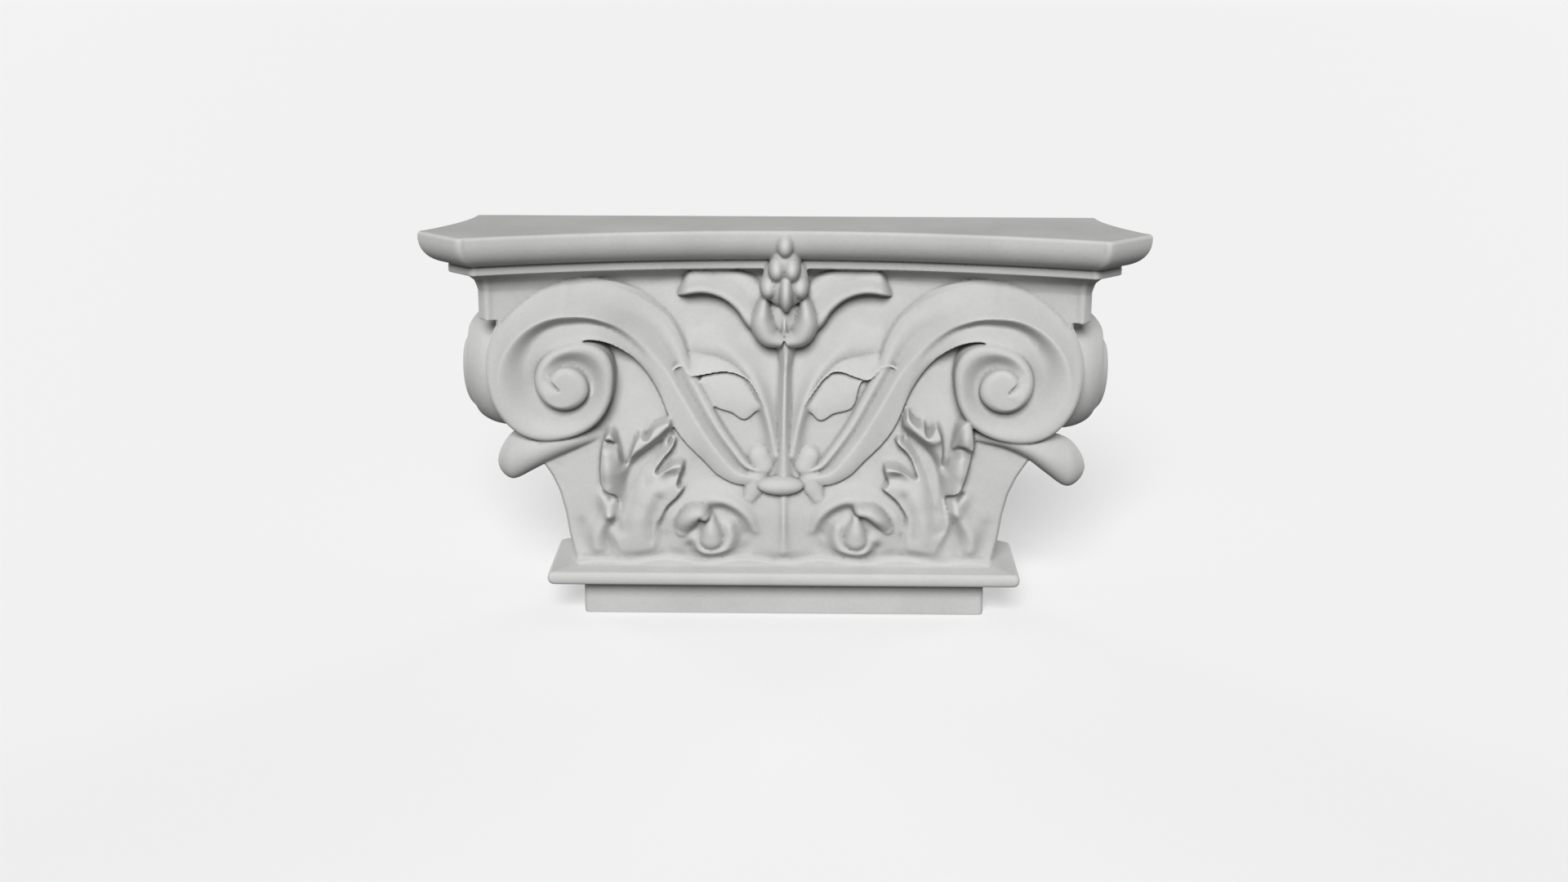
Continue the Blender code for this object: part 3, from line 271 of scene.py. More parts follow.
ACANTHUS = {
    -1: Leaf(
        ((77, 20), (75, 38.5), (75, 51), (75.5, 59), (73.5, 64), (72.5, 67), (70.5, 72), (65.5, 77),
         (61.5, 82), (60.5, 85), (64, 86), (62.5, 92), (60.5, 97), (61.5, 101), (67.5, 101), (73, 97),
         (78, 93), (73, 101), (68, 107), (65.5, 112.5), (67.5, 115.5), (71, 111), (68.5, 114.5),
         (67.5, 121.5), (69, 127), (73, 126.5), (80, 122.5), (84, 116), (87, 118.5), (91, 115), (94, 107),
         (97, 98.5), (99, 106), (102, 117), (105, 121), (108, 120), (111, 114.5), (113, 103.5),
         (113.5, 90.5), (112, 84.5), (109, 81.5), (104, 78.5), (102, 72.5), (105, 63), (110, 54),
         (107, 42.5), (104, 32.5), (101, 20)),
        (Stroke(((95, 104.5), (86, 109.5), (77, 117), (70, 124)), (4, 4.5, 4.5, 3), (2.5, 3.5, 3.5, 2)),
         Stroke(((69, 119), (79, 108.5), (88, 100.5), (94, 90), (97, 76.5), (101, 58.5)),
                (3.5, 4.5, 5, 5, 5, 5), (-5, -7, -7, -6, -4, -2)),
         Stroke(((70, 112), (79, 102), (86, 92), (91, 76)), (7, 10, 10, 9), (-2.5, -4.5, -4.5, -2.5)),
         Stroke(((78.5, 90.5), (71.5, 97.5), (64.5, 99.5)), (3, 3, 2.5), (1, 2.5, 1.5)),
         Stroke(((82.5, 87.5), (74.5, 90.5), (66.5, 92.5)), (4, 4, 3), (-1, -2, -1.5)),
         Stroke(((66.5, 112), (70.5, 106.5), (76.5, 99.5)), (2.5, 2.5, 3), (1, 1.5, 1)),
         Stroke(((110, 114.5), (106, 117.5), (102, 114.5)), (2.5, 2.5, 2.5), (1, 2.5, 1)),
         Stroke(((114, 111.5), (107, 113), (100, 110)), (1.6, 1.8, 1.6), (-3.5, -5, -3)),
         Stroke(((107.5, 106.5), (107, 97.5), (106.5, 87.5)), (4.5, 5.5, 4.5), (3, 4, 2.5)),
         Stroke(((98, 98.5), (98, 101.5)), (3, 3), (-2, -2)),
         Stroke(((106, 77), (106, 69)), (4, 4), (-3, -3)),
         Stroke(((80.5, 85.5), (87, 71), (89, 52.5), (89, 36)), (8, 9, 9, 8), (1.5, 2, 2, 1)),
         Stroke(((76.5, 77.5), (81, 65), (81, 52.5)), (4, 4, 4), (-1.5, -1.5, -1)))),
    1: Leaf(
        ((70.5, 20), (69.5, 37.5), (71.5, 53), (74, 63), (73, 68.5), (69, 75.5), (63, 81), (59.5, 84),
         (63, 88), (61.5, 92), (60.5, 97), (62.5, 100), (69.5, 99), (75.5, 95), (81, 90.5), (79.5, 95),
         (77.5, 100.5), (74.5, 105.5), (69.5, 110.5), (67.5, 113.5), (69.5, 117), (72.5, 116.5),
         (73.5, 115), (72, 119.5), (71.5, 124.5), (72.5, 129), (75.5, 134), (78.5, 128.5), (82.5, 125.5),
         (86, 126), (88, 119.5), (91, 124), (94, 124.5), (97, 118), (98.5, 109), (98, 98.5), (100, 103.5),
         (102, 113), (104.5, 123), (107.5, 127.5), (112, 129), (115.5, 124), (117, 113.5), (116, 105.5),
         (114, 99.5), (112.5, 93), (109.5, 84.5), (104.5, 80.5), (99.5, 77.5), (101.5, 69), (104.5, 59),
         (100.5, 46.5), (97.5, 34.5), (94.5, 20)),
        (Stroke(((75.5, 128.5), (80.5, 122), (88.5, 117), (94.5, 117.5)),
                (3, 4, 4.5, 4), (2, 3.5, 3.5, 2.5)),
         Stroke(((70.5, 121), (78.5, 113.5), (84.5, 106.5), (89.5, 98.5), (92.5, 88.5), (94, 75.5),
                 (95.5, 58.5)),
                (3.5, 4.5, 5, 5, 5, 5, 5), (-5, -7, -7.5, -7, -6, -4, -2)),
         Stroke(((76, 113), (84, 101), (88, 88), (90, 74)), (7, 10, 10, 9), (-2.5, -4.5, -4.5, -2.5)),
         Stroke(((62.5, 97.5), (69.5, 97.5), (77.5, 93.5)), (2.5, 3, 3), (1.5, 2.5, 1)),
         Stroke(((64.5, 90.5), (71.5, 91.5), (80.5, 85.5)), (3, 4, 4), (-1.5, -2, -1)),
         Stroke(((70.5, 115), (74.5, 110.5), (79.5, 103.5)), (2.5, 2.5, 3), (1, 1.5, 1)),
         Stroke(((110, 125.5), (110.5, 118.5), (111.5, 111.5)), (5, 5, 4.5), (2.5, 3.5, 2)),
         Stroke(((104.5, 121.5), (104, 113.5), (103.5, 107.5)), (3, 3, 3), (-2, -3, -3)),
         Stroke(((101.5, 105), (107.5, 109.5), (111.5, 108.5), (116.5, 104)),
                (1.8, 2, 2, 1.8), (-3, -5.5, -5.5, -4)),
         Stroke(((98.5, 113.5), (100, 105.5), (98.5, 97.5)), (3, 3, 3), (-2.5, -4, -3)),
         Stroke(((107.5, 103.5), (107.5, 96.5), (106.5, 88.5)), (4, 5, 4), (2.5, 3, 2)),
         Stroke(((103.5, 77.5), (104, 69)), (4, 4), (-3, -3)),
         Stroke(((82.5, 83.5), (84.5, 69), (84.5, 52.5), (84.5, 36)), (8, 9, 9, 8), (1.5, 2, 2, 1)),
         Stroke(((74.5, 79.5), (79.5, 67), (80.5, 54.5)), (4, 4, 4), (-1.5, -1.5, -1)))),
}
SKIRT = (
    Stroke(((108, 66), (115, 54), (116, 38), (116, 24)), (4.5, 6, 8, 8), (4.5, 5, 4, 2.5)),
    Stroke(((125, 60), (122, 46), (118, 32)), (4, 4.5, 4.5), (-1.2, -2.2, -1.2)),
    Stroke(((106, 60), (108, 48), (105, 34)), (3.5, 4.5, 4.5), (-1.2, -2.2, -1.2)),
)
EYE_LIP = {-1: Stroke(((108, 78), (106.5, 67.5)), (5.5, 4.2), (6.5, 6)),
           1: Stroke(((107, 80), (105.5, 70.5)), (5.5, 4.2), (6.5, 6))}
EYE = Stroke(((109.5, 80), (107.5, 76.5)), (2.4, 2.2), (-5, -3.5))
CURL_BODY = (
    Stroke(((44, 62), (44, 46)), (20, 20), (4, 3.5)),
    Stroke(((18, 57), (21, 65), (27, 71.5), (36, 76), (46, 77.5), (56, 76), (63.5, 72), (69, 66), (72, 58)),
           (3.2, 4.2, 5, 5.4, 5.4, 5, 4.2, 3.6, 3), (2.5, 4.5, 5.5, 5.5, 4.5, 3.5, 3, 3, 1.5)),
    Stroke(((66, 42), (64, 52), (60.5, 61), (55, 67)), (8, 9, 9, 6), (1.5, 3, 3, 2)),
    Stroke(((26, 55), (30, 64), (37, 69.5), (43, 70)), (3.8, 4.2, 4.2, 3.5), (-2, -3.8, -4.2, -3)),
    Stroke(((57, 46), (53, 38), (45, 33.5), (36, 35)), (3.8, 4, 4, 4), (-3, -4, -4, -3)),
    Stroke(((23, 54), (25, 44), (31, 35)), (4.5, 5, 4), (-1.5, -3, -2.5)),
    Stroke(((32.5, 60), (32.5, 52.5), (36, 45.5), (44.5, 42), (52, 45), (54.5, 51)),
           (4.6, 4.4, 4.2, 4, 4.2, 4.2), (4.5, 4.5, 4.5, 4.5, 4.5, 3)),
)
BUD = Stroke(((44.5, 65), (44.5, 58), (44.5, 51.5)), (3, 5.8, 7.3), (8, 10.5, 10.5))
THUMB = {-1: Stroke(((62.5, 56.5), (60, 63), (56, 68), (51.5, 70), (48.5, 67.5)),
                    (5, 6.4, 6.4, 5.4, 4), (7, 12.5, 15.5, 16, 14)),
         1: Stroke(((64, 58), (59, 65.5), (53, 70.5), (47, 71.5)), (4, 5, 5, 4.2), (7, 14, 16, 15))}
RING_LEAVES = (
    Stroke(((13, 97), (15.5, 103)), (6, 6), (5.5, 5.5)),
    Stroke(((17, 89), (18.5, 83), (20.5, 78)), (7, 6, 4), (5, 4.5, 3.5)),
)
CENTRE_LEAF = (
    Stroke(((0, 84), (0, 60), (0, 28)), (13, 14, 15), (2.5, 3, 2.5)),
    Stroke(((0, 84), (0, 58), (0, 34)), (2.0, 2.5, 5.0), (1.5, 3, 2)),
)
LEAF_STALK = (
    Stroke(((5, 104), (9, 124), (14, 140), (23, 156), (36, 166), (54, 170)), (4, 4, 4.5, 6, 7, 5),
           (5, 7, 7, 6, 4.5, 2)),
    Stroke(((30, 166), (42, 176), (54, 176)), (5, 5.5, 4), (1, 2.2, 1.5)),
)

# Leaf tips under the corners: reach, underside and upper side from root to end, left and right
TIP_ROOT = 112.0
TIP_REACH = {-1: 177.0, 1: 185.5}
TIP_UNDER = {-1: (111, 107.5, 103, 97.5, 91.5, 86, 86), 1: (112, 110.5, 108, 101.5, 92, 83.5, 84)}
TIP_OVER = {-1: (121, 121, 121, 120.5, 119, 116, 108), 1: (121, 121, 120.5, 120, 118, 114, 107)}
TIP_HALF_DEEP = (6, 12, 15.5, 16.5, 16, 13.5, 10)
TIP_END = 0.16
TIP_END_LEAST = 0.01
TIP_P = 42.0
TIP_STATIONS = 60
TIP_AROUND = 44

# Mesh density and fusing. FAR and TINY stand outside all lengths on the sheet
STEPS_ALONG = 36
STEPS_ACROSS = 14
BELL_ROWS = 240
BELL_COLUMNS = 420
BELL_SIDE_STEPS = 10
BALL_SEGMENTS = 24
BALL_RINGS = 16
BEHIND_WALL = -6.0
RELIEF_BACK = 10.0
FUSE_CELL = 0.00068
FUSE_ROUNDS = 6
FUSE_EASE = 0.5
TRIANGLE_BUDGET = 190000
SHARP_ANGLE = 50.0
FAR = 1e9
TINY = 1e-9

# Finish of the stone: colours, noise scales per metre, relief depths in metres, and the spans of
# noise or bend (0.5 on a flat face) over which each layer comes in
STONE_LIGHT = (0.43, 0.43, 0.425, 1.0)
STONE_DARK = (0.395, 0.395, 0.39, 1.0)
GRAIN_COLOUR = (0.86, 0.86, 0.855, 1.0)
SPECK_COLOUR = (0.30, 0.30, 0.295, 1.0)
# Painted shade: this near-black colour darkens the creases and hollows, where shade falls
PAINTED_SHADE_COLOUR = (0.07, 0.07, 0.069, 1.0)
# Painted highlight: this lighter colour brightens the sharp edges, where light catches
PAINTED_HIGHLIGHT_COLOUR = (0.50, 0.50, 0.494, 1.0)
CLOUDS = {"Scale": 22.0, "Detail": 4.0, "Roughness": 0.55}
GRAIN = {"Scale": 420.0, "Detail": 3.0, "Roughness": 0.6}
PITS = {"Scale": 1500.0, "Detail": 2.0, "Roughness": 0.5}
SPECK_SCALE = 260.0
CLOUD_SPAN = (0.35, 0.65)
GRAIN_SPAN = (0.3, 0.7)
GRAIN_SHARE = 0.35
SPECK_SPAN = (0.02, 0.16)
SPECK_SHARE = 0.12
PAINTED_SHADE_SPAN = (0.45, 0.5)
PAINTED_SHADE_SHARE = 0.72
PAINTED_HIGHLIGHT_SPAN = (0.505, 0.56)
PAINTED_HIGHLIGHT_SHARE = 0.5
SHINE = 0.3
ROUGH_SPAN = (0.3, 0.7)
ROUGH_LOW = 0.72
ROUGH_HIGH = 0.86
TOOLING_STRENGTH = 0.25
TOOLING_DEPTH = 0.0004
PIT_STRENGTH = 0.2
PIT_DEPTH = 0.00015

# Sockets of a colour mix node: factor and two colours in, and the colour that comes out
MIX_INPUTS = (0, 6, 7)
MIX_RESULT = 2

# Studio: floor size in metres, lights as angles in degrees and strengths
FLOOR_COLOUR = (0.46, 0.46, 0.46, 1.0)
FLOOR_GLOW = 0.415
FLOOR_ROUGH = 0.9
FLOOR_SHINE = 0.1
FLOOR_GAP = 0.0005
FLOOR_HALF = 20.0
FLOOR_FLAT = 7.0
FLOOR_RISE = 6.0
FLOOR_STEPS = 80
KEY_HEIGHT = 32.0
KEY_ASIDE = -4.0
LIGHT_SPREAD = 26.0
LIGHT_PLACE = (0.0, 0.0, 2.0)
KEY_STRENGTH = 4.55
FILL_HEIGHT = 3.0
FILL_ASIDE = 135.0
FILL_STRENGTH = 2.0
WHITE = (1.0, 1.0, 1.0, 1.0)
SURROUND_STRENGTH = 0.13

# Camera: its place and nearest view in metres, angles in degrees and lens in millimetres
CAMERA_PLACE = (0.01615, -1.17739, 0.4376)
CAMERA_PITCH = 15.75
CAMERA_YAW = 0.8
CAMERA_ROLL = 0.15
LENS = 44.89
SENSOR_WIDTH = 36.0
NEAREST_SEEN = 0.05


def placed(points):
    """Sheet points (x, p, z) in parts as real points in metres."""
    points = np.asarray(points, float)
    rise = np.clip(points[..., 2] / PARTS_TALL, 0.0, 1.0)
    wide = NECK_WIDTH / PARTS_NECK * (1.0 - rise) + ABACUS_WIDTH / PARTS_ABACUS * rise
    deep = NECK_DEPTH / PARTS_NECK_DEEP * (1.0 - rise) + ABACUS_DEPTH / PARTS_ABACUS_DEEP * rise
    x = points[..., 0] * wide
    y = WALL - points[..., 1] * deep
    z = points[..., 2] * HEIGHT / PARTS_TALL
    return np.stack([x, y, z], axis=-1)


def eased(value):
    """A soft step from 0 to 1."""
    value = np.clip(value, 0.0, 1.0)
    return value * value * (3.0 - 2.0 * value)


def quarter_round(share, least=0.0):
    """A rounded end, from 1 where the share is 0 down to the least where it is 1."""
    return np.sqrt(np.clip(1.0 - np.clip(share, 0.0, 1.0) ** 2, least, 1.0))


def between(values, span, t):
    """Cubic blend of four values in a row, from the second at t = 0 to the third at t = 1."""
    a, b, c, d = values[span], values[span + 1], values[span + 2], values[span + 3]
    return 0.5 * (2 * b + (c - a) * t + (2 * a - 5 * b + 4 * c - d) * t ** 2
                  + (3 * b - a - 3 * c + d) * t ** 3)


def curve_through(points, count):
    """A smooth curve through the points, as count points evenly spread by parameter."""
    points = np.asarray(points, float)
    if len(points) == 2:
        share = np.linspace(0.0, 1.0, count)[:, None]
        return points[0] * (1.0 - share) + points[1] * share
    ends = np.vstack([2 * points[0] - points[1], points, 2 * points[-1] - points[-2]])
    place = np.linspace(0.0, len(points) - 1, count)
    span = np.minimum(place.astype(int), len(points) - 2)
    t = (place - span)[:, None]
    return between(ends, span, t)


def values_along(values, count):
    """Smoothly changing values, one for each of count places."""
    return curve_through(np.asarray(values, float)[:, None], count)[:, 0]


def bell_front(x, z):
    """How far the bell's front stands from the wall."""
    half = np.interp(z, BELL_LEVELS, BELL_HALF)
    lean = (z - BELL_LEAN_START) / (BELL_LEAN_END - BELL_LEAN_START)
    lean = np.clip(lean, 0.0, BELL_LEAN_MOST) ** BELL_LEAN_CURVE
    middle = BELL_FRONT + (BELL_TOP_FRONT - BELL_FRONT) * lean
    corner = BELL_FRONT + (BELL_CORNER_FRONT - BELL_FRONT) * lean
    side = np.clip(np.abs(x) / half, 0.0, 1.0) ** 2.0
    return middle + (corner - middle) * side


def closed_grid(name, side, top, bottom):
    """A closed mesh between two grids of sheet points, mirrored to the left where side is -1."""
    rows, columns = top.shape[:2]
    points = np.concatenate([top.reshape(-1, 3), bottom.reshape(-1, 3)]) * (side, 1.0, 1.0)
    offset = rows * columns
    faces = []
    for i in range(rows - 1):
        for j in range(columns - 1):
            a = i * columns + j
            quad = (a, a + 1, a + columns + 1, a + columns)
            faces.append(quad)
            faces.append(tuple(offset + k for k in reversed(quad)))
    rim = list(range(columns))
    rim += [i * columns + columns - 1 for i in range(1, rows)]
    rim += [(rows - 1) * columns + j for j in range(columns - 2, -1, -1)]
    rim += [i * columns for i in range(rows - 2, 0, -1)]
    for a, b in zip(rim, rim[1:] + rim[:1]):
        faces.append((b, a, offset + a, offset + b))
    return mesh_object(name, points, faces)


def mesh_object(name, points, faces):
    """A mesh object from sheet points, with its faces turned outwards."""
    mesh = bpy.data.meshes.new(name)
    mesh.from_pydata(placed(points).tolist(), [], faces)
    work = bmesh.new()
    work.from_mesh(mesh)
    bmesh.ops.recalc_face_normals(work, faces=work.faces)
    work.to_mesh(mesh)
    work.free()
    piece = bpy.data.objects.new(name, mesh)
    bpy.context.scene.collection.objects.link(piece)
    return piece


def relief_band(name, side, outer, inner, heights):
    """A band of relief on the bell between two curves (x, z), with its heights over the bell."""
    share = np.linspace(0.0, 1.0, heights.shape[1])[None, :, None]
    flat = outer[:, None, :] * (1.0 - share) + inner[:, None, :] * share
    ground = bell_front(flat[..., 0], flat[..., 1])
    top = np.stack([flat[..., 0], ground + heights, flat[..., 1]], axis=-1)
    bottom = top.copy()
    bottom[..., 1] = RELIEF_BACK
    return closed_grid(name, side, top, bottom)


def nearest_on(line, x, z):
    """For each place (x, z): its distance from a line, and how far along the line it is nearest."""
    best = np.full(x.shape, FAR)
    along = np.zeros(x.shape)
    steps = len(line) - 1
    for i in range(steps):
        start, run = line[i], line[i + 1] - line[i]
        length = max(float(run @ run), TINY)
        t = np.clip(((x - start[0]) * run[0] + (z - start[1]) * run[1]) / length, 0.0, 1.0)
        distance = (x - start[0] - t * run[0]) ** 2 + (z - start[1] - t * run[1]) ** 2
        nearer = distance < best
        best = np.where(nearer, distance, best)
        along = np.where(nearer, (i + t) / steps, along)
    return np.sqrt(best), along


def stroked(height, x, z, stroke, is_round=False, strength=1.0):
    """Adds a stroke to the heights, or lays it over them where it is round."""
    reach = max(stroke.widths) * (1.0 + ROUND_SKIRT if is_round else SOFT_REACH)
    line = curve_through(stroke.line, LINE_STEPS)
    low, high = line.min(axis=0) - reach, line.max(axis=0) + reach
    near = (x > low[0]) & (x < high[0]) & (z > low[1]) & (z < high[1])
    if not near.any():
        return height
    distance, along = nearest_on(line, x[near], z[near])
    stations = np.linspace(0.0, 1.0, LINE_STEPS)
    width = np.interp(along, stations, values_along(stroke.widths, LINE_STEPS))
    amount = np.interp(along, stations, values_along(stroke.amounts, LINE_STEPS))
    share = distance / width
    height = height.copy()
    if is_round:
        foot = ROUND_FOOT * (1.0 - eased((share - 1.0) / ROUND_SKIRT))
        dome = amount * (foot + (1.0 - ROUND_FOOT) * np.clip(1.0 - share ** 2, 0.0, 1.0) ** ROUND_CURVE)
        height[near] = np.maximum(height[near], dome)
    else:
        height[near] += strength * amount * np.exp(-share ** 2)
    return height


def covered(line, x, z):
    """Which places lie inside a closed line."""
    inside = np.zeros(x.shape, bool)
    for (x0, z0), (x1, z1) in zip(line, np.roll(line, -1, axis=0)):
        if z0 != z1:
            crosses = (z0 > z) != (z1 > z)
            inside ^= crosses & (x < x0 + (x1 - x0) * (z - z0) / (z1 - z0))
    return inside


def laid(height, x, z, leaf):
    """Lays a leaf over the heights, with its crisp edge and the strokes on it."""
    closed = np.vstack([leaf.outline, leaf.outline[:1]])
    line = curve_through(closed, 3 * len(closed))
    low, high = line.min(axis=0), line.max(axis=0)
    near = (x > low[0]) & (x < high[0]) & (z > low[1]) & (z < high[1])
    if not near.any():
        return height
    x, z = x[near], z[near]
    body = np.interp(z, LIFT_LEVELS, LIFT)
    for stroke in leaf.strokes:
        body = stroked(body, x, z, stroke, strength=FOLD_STRENGTH)
    distance = nearest_on(line, x, z)[0]
    edge = np.interp(z, EDGE_LEVELS, EDGE_WIDTHS)
    share = np.where(covered(line, x, z), eased(distance / edge), 0.0)
    height = height.copy()
    height[near] += share * np.maximum(body, 0.0)
    return height


def relief(x, z):
    """Height of the leaf carving over the bell's plain front."""
    height = np.zeros(np.broadcast(x, z).shape)
    x = x + 0.0 * height
    z = z + 0.0 * height
    ripple = FOOT_SWELL * (1.0 - np.cos(x / FOOT_WAVE))
    ripple = ripple - FOOT_DROP * np.clip(np.abs(x) - FOOT_ENDS, 0.0, None)
    for stroke in CENTRE_LEAF:
        height = stroked(height, np.abs(x), z, stroke)
    for side in (-1, 1):
        height = laid(height, side * x, z, ACANTHUS[side])
        for stroke in SKIRT + (EYE_LIP[side], EYE) + CURL_BODY + LEAF_STALK:
            height = stroked(height, side * x, z, stroke)
        for stroke in RING_LEAVES + (BUD, THUMB[side]):
            height = stroked(height, side * x, z, stroke, is_round=True)
    above = np.clip(z - FOOT_RIDGE - ripple, 0.0, None)
    height = height * eased(above / FOOT_FADE)
    return height + FOOT_RISE * np.exp(-(above / FOOT_HALF) ** 2)


def eighth_turns(values, turns_from_start):
    """Values given at each eighth of a turn, read smoothly in between."""
    count = len(values)
    place = np.clip(turns_from_start * 8.0, 0.0, count - 1.0)
    span = np.minimum(place.astype(int), count - 2)
    t = place - span
    v = np.asarray(values, float)
    v = np.concatenate([[2 * v[0] - v[1]], v, [2 * v[-1] - v[-2]]])
    return between(v, span, t)


def groove_return(share):
    """How far the groove has come up again across the flank."""
    return eased((share - GROOVE_RETURN) / (1.0 - GROOVE_RETURN))


def coil_rows(count):
    """The coil as grids of angle, radius and height over the volute's face."""
    last = (len(COIL_RADII) - 1) / 8.0
    turns = np.linspace(0.0, last, count)[:, None]
    outer = eighth_turns(COIL_RADII, turns)
    in_eye = turns >= last - 1.0
    eye_foot = COIL_RADII[-1] * (1.0 - EYE_TAPER * (turns - last + 1.0))
    foot = np.where(in_eye, eye_foot, eighth_turns(COIL_RADII, np.minimum(turns + 1.0, last)))
    edge = eighth_turns(GROOVE_EDGE, turns)
    depth = eighth_turns(GROOVE_DEPTH, turns)
    face = np.linspace(0.0, 1.0, FACE_COLUMNS)[None, :]
    flank = np.linspace(0.0, 1.0, FLANK_COLUMNS)[None, 1:]
    share = np.concatenate([edge * face, edge + (1.0 - edge) * flank], axis=1)
    radius = outer + (np.where(in_eye, 0.0, foot) - outer) * share
    inward = np.clip((outer - radius) / (outer - foot), 0.0, 1.0)
    from_rim = np.clip((outer - radius) / COIL_ROUNDING, 0.0, 1.0)
    rim = COIL_ROUNDING * (np.sqrt(1.0 - (1.0 - from_rim) ** 2) - 1.0)
    rim = rim * np.clip(turns / DISH_TURNS, RIM_LEAST, 1.0)
    lean = BAND_LEAN * (1.0 - eased(turns / LEAN_TURNS))
    lean = lean * (1.0 - np.clip(share / edge, 0.0, 1.0) ** BAND_CURVE)
    beyond = np.clip((inward - edge) / (1.0 - edge), 0.0, 1.0)
    dished = eased(turns / DISH_TURNS)
    wall = GROOVE_WALL + GROOVE_WIDENS * dished
    groove = depth * (eased(beyond / wall) - (1.0 - dished) * groove_return(beyond))
    level = COIL_RISE * np.minimum(turns, last)
    nearing = eased((turns - last + EYE_START) / EYE_TURNS)
    to_eye = np.where(in_eye, COIL_RISE * last - level, COIL_RISE * nearing)
    height = level + to_eye * eased(inward) + rim - lean - groove
    return math.pi / 2.0 + 2.0 * math.pi * turns + 0.0 * share, radius, height


def scroll(side):
    """The ribbed stem and the volute that it winds into, as one band."""
    angle, radius, height = coil_rows(COIL_ROWS)
    coil = np.stack([VOLUTE_X - radius * np.cos(angle), VOLUTE_FACE + height,
                     VOLUTE_Z + radius * np.sin(angle)], axis=-1)
    start = coil[0]
    turn_in = start[FACE_COLUMNS - 1]
    outer = curve_through(STEM_OUTER + (tuple(start[0, [0, 2]]),), STEM_ROWS)
    crest = curve_through(STEM_CREST + (tuple(turn_in[[0, 2]]),), STEM_ROWS)
    lower = curve_through(STEM_UNDERSIDE + (tuple(start[-1, [0, 2]]),), STEM_ROWS)
    along = np.linspace(0.0, 1.0, STEM_ROWS)[:, None]
    over = np.linspace(0.0, 1.0, FACE_COLUMNS)[None, :]
    down = np.linspace(0.0, 1.0, FLANK_COLUMNS)[None, 1:]
    face = outer[:, None] * (1.0 - over[..., None]) + crest[:, None] * over[..., None]
    flank = crest[:, None] * (1.0 - down[..., None]) + lower[:, None] * down[..., None]
    blend = eased((along - BLEND_START) / (1.0 - BLEND_START))
    outer_p = bell_front(outer[:, 0], outer[:, 1])[:, None] + STEM_EDGE
    outer_p = outer_p + (start[0, 1] - outer_p) * blend
    crest_p = bell_front(crest[:, 0], crest[:, 1])[:, None] + values_along(STEM_RISE, STEM_ROWS)[:, None]
    crest_p = crest_p + (turn_in[1] - crest_p) * blend
    lower_p = bell_front(lower[:, 0], lower[:, 1])[:, None] + values_along(STEM_LOWER, STEM_ROWS)[:, None]
    lower_p = lower_p + (start[-1, 1] - lower_p) * blend
    ribbed = 1.0 - eased((along - RIBS_FADE_START) / RIBS_FADE_SPAN)
    ribs = OUTER_RIB * np.exp(-((over - OUTER_RIB_PLACE) / OUTER_RIB_WIDE) ** 2)
    ribs = ribs - STEM_GROOVE * np.exp(-((over - STEM_GROOVE_PLACE) / STEM_GROOVE_WIDE) ** 2)
    sunk = STEM_SINK * (1.0 - eased(over / STEM_SINK_SHARE)) * (1.0 - blend)
    face_p = outer_p + (crest_p - outer_p) * over ** BAND_CURVE + ribs * ribbed - sunk
    depth = GROOVE_DEPTH[0] * eased((along - FLANK_GROOVE_START) / (1.0 - FLANK_GROOVE_START))
    groove = depth * (eased(down / GROOVE_WALL) - groove_return(down))
    flank_p = crest_p + (lower_p - crest_p) * down ** (FLANK_CURVE - blend) - groove
    stem = np.concatenate([np.stack([face[..., 0], face_p, face[..., 1]], axis=-1),
                           np.stack([flank[..., 0], flank_p, flank[..., 1]], axis=-1)], axis=1)
    top = np.concatenate([stem[:-1], coil])
    bottom = top.copy()
    bottom[:STEM_ROWS, :, 1] = RELIEF_BACK
    bottom[STEM_ROWS:, :, 1] = VOLUTE_BACK
    return closed_grid("scroll", side, top, bottom)


def side_volute(side):
    """The plainer volute on the return side: a low dome with a spiral groove, cut by the wall."""
    turn = np.linspace(0.0, 2.0 * math.pi, SIDE_VOLUTE_AROUND)[:, None]
    share = np.linspace(0.0, 1.0, SIDE_VOLUTE_ACROSS)[None, :]
    dome = SIDE_VOLUTE_DOME * (1.0 - np.sqrt(1.0 - SIDE_VOLUTE_FULLNESS * share ** 3))
    spiral = (share * SIDE_VOLUTE_TURNS - turn / (2.0 * math.pi)) % 1.0
    fades = eased(share / SIDE_VOLUTE_FADE) * eased((1.0 - share) / SIDE_VOLUTE_FADE)
    groove = SIDE_VOLUTE_GROOVE * fades * np.exp(-((spiral - 0.5) / SIDE_VOLUTE_GROOVE_HALF) ** 2)
    radius = SIDE_VOLUTE_RADIUS * share + 0.0 * turn
    top = np.stack([SIDE_VOLUTE_FACE - dome - groove, SIDE_VOLUTE_P - radius * np.cos(turn),
                    SIDE_VOLUTE_Z + radius * np.sin(turn)], axis=-1)
    bottom = top.copy()
    bottom[..., 0] = SIDE_VOLUTE_BACK
    return closed_grid("side volute", side, top, bottom)


def ball(name, form):
    """An egg-shaped form from a sphere, with its centre and radii on the sheet as (x, p, z)."""
    centre, radii = form
    bpy.ops.mesh.primitive_uv_sphere_add(segments=BALL_SEGMENTS, ring_count=BALL_RINGS, radius=1.0)
    piece = bpy.context.object
    piece.name = name
    for vertex in piece.data.vertices:
        unit = (vertex.co.x, -vertex.co.y, vertex.co.z)
        vertex.co = placed([centre[k] + radii[k] * unit[k] for k in range(3)]).tolist()
    return piece


def rounded(before, corner, after, by):
    """Three points that make a corner of an outline round, with its middle left in place."""
    def towards(end):
        run = end - corner
        return corner + run * min(ARRIS_MOST, by / max(float(np.linalg.norm(run)), TINY))
    first, last = towards(before), towards(after)
    swell = (corner - (first + last) / 2.0) / 2.0
    return np.array([first + swell, corner, last + swell])


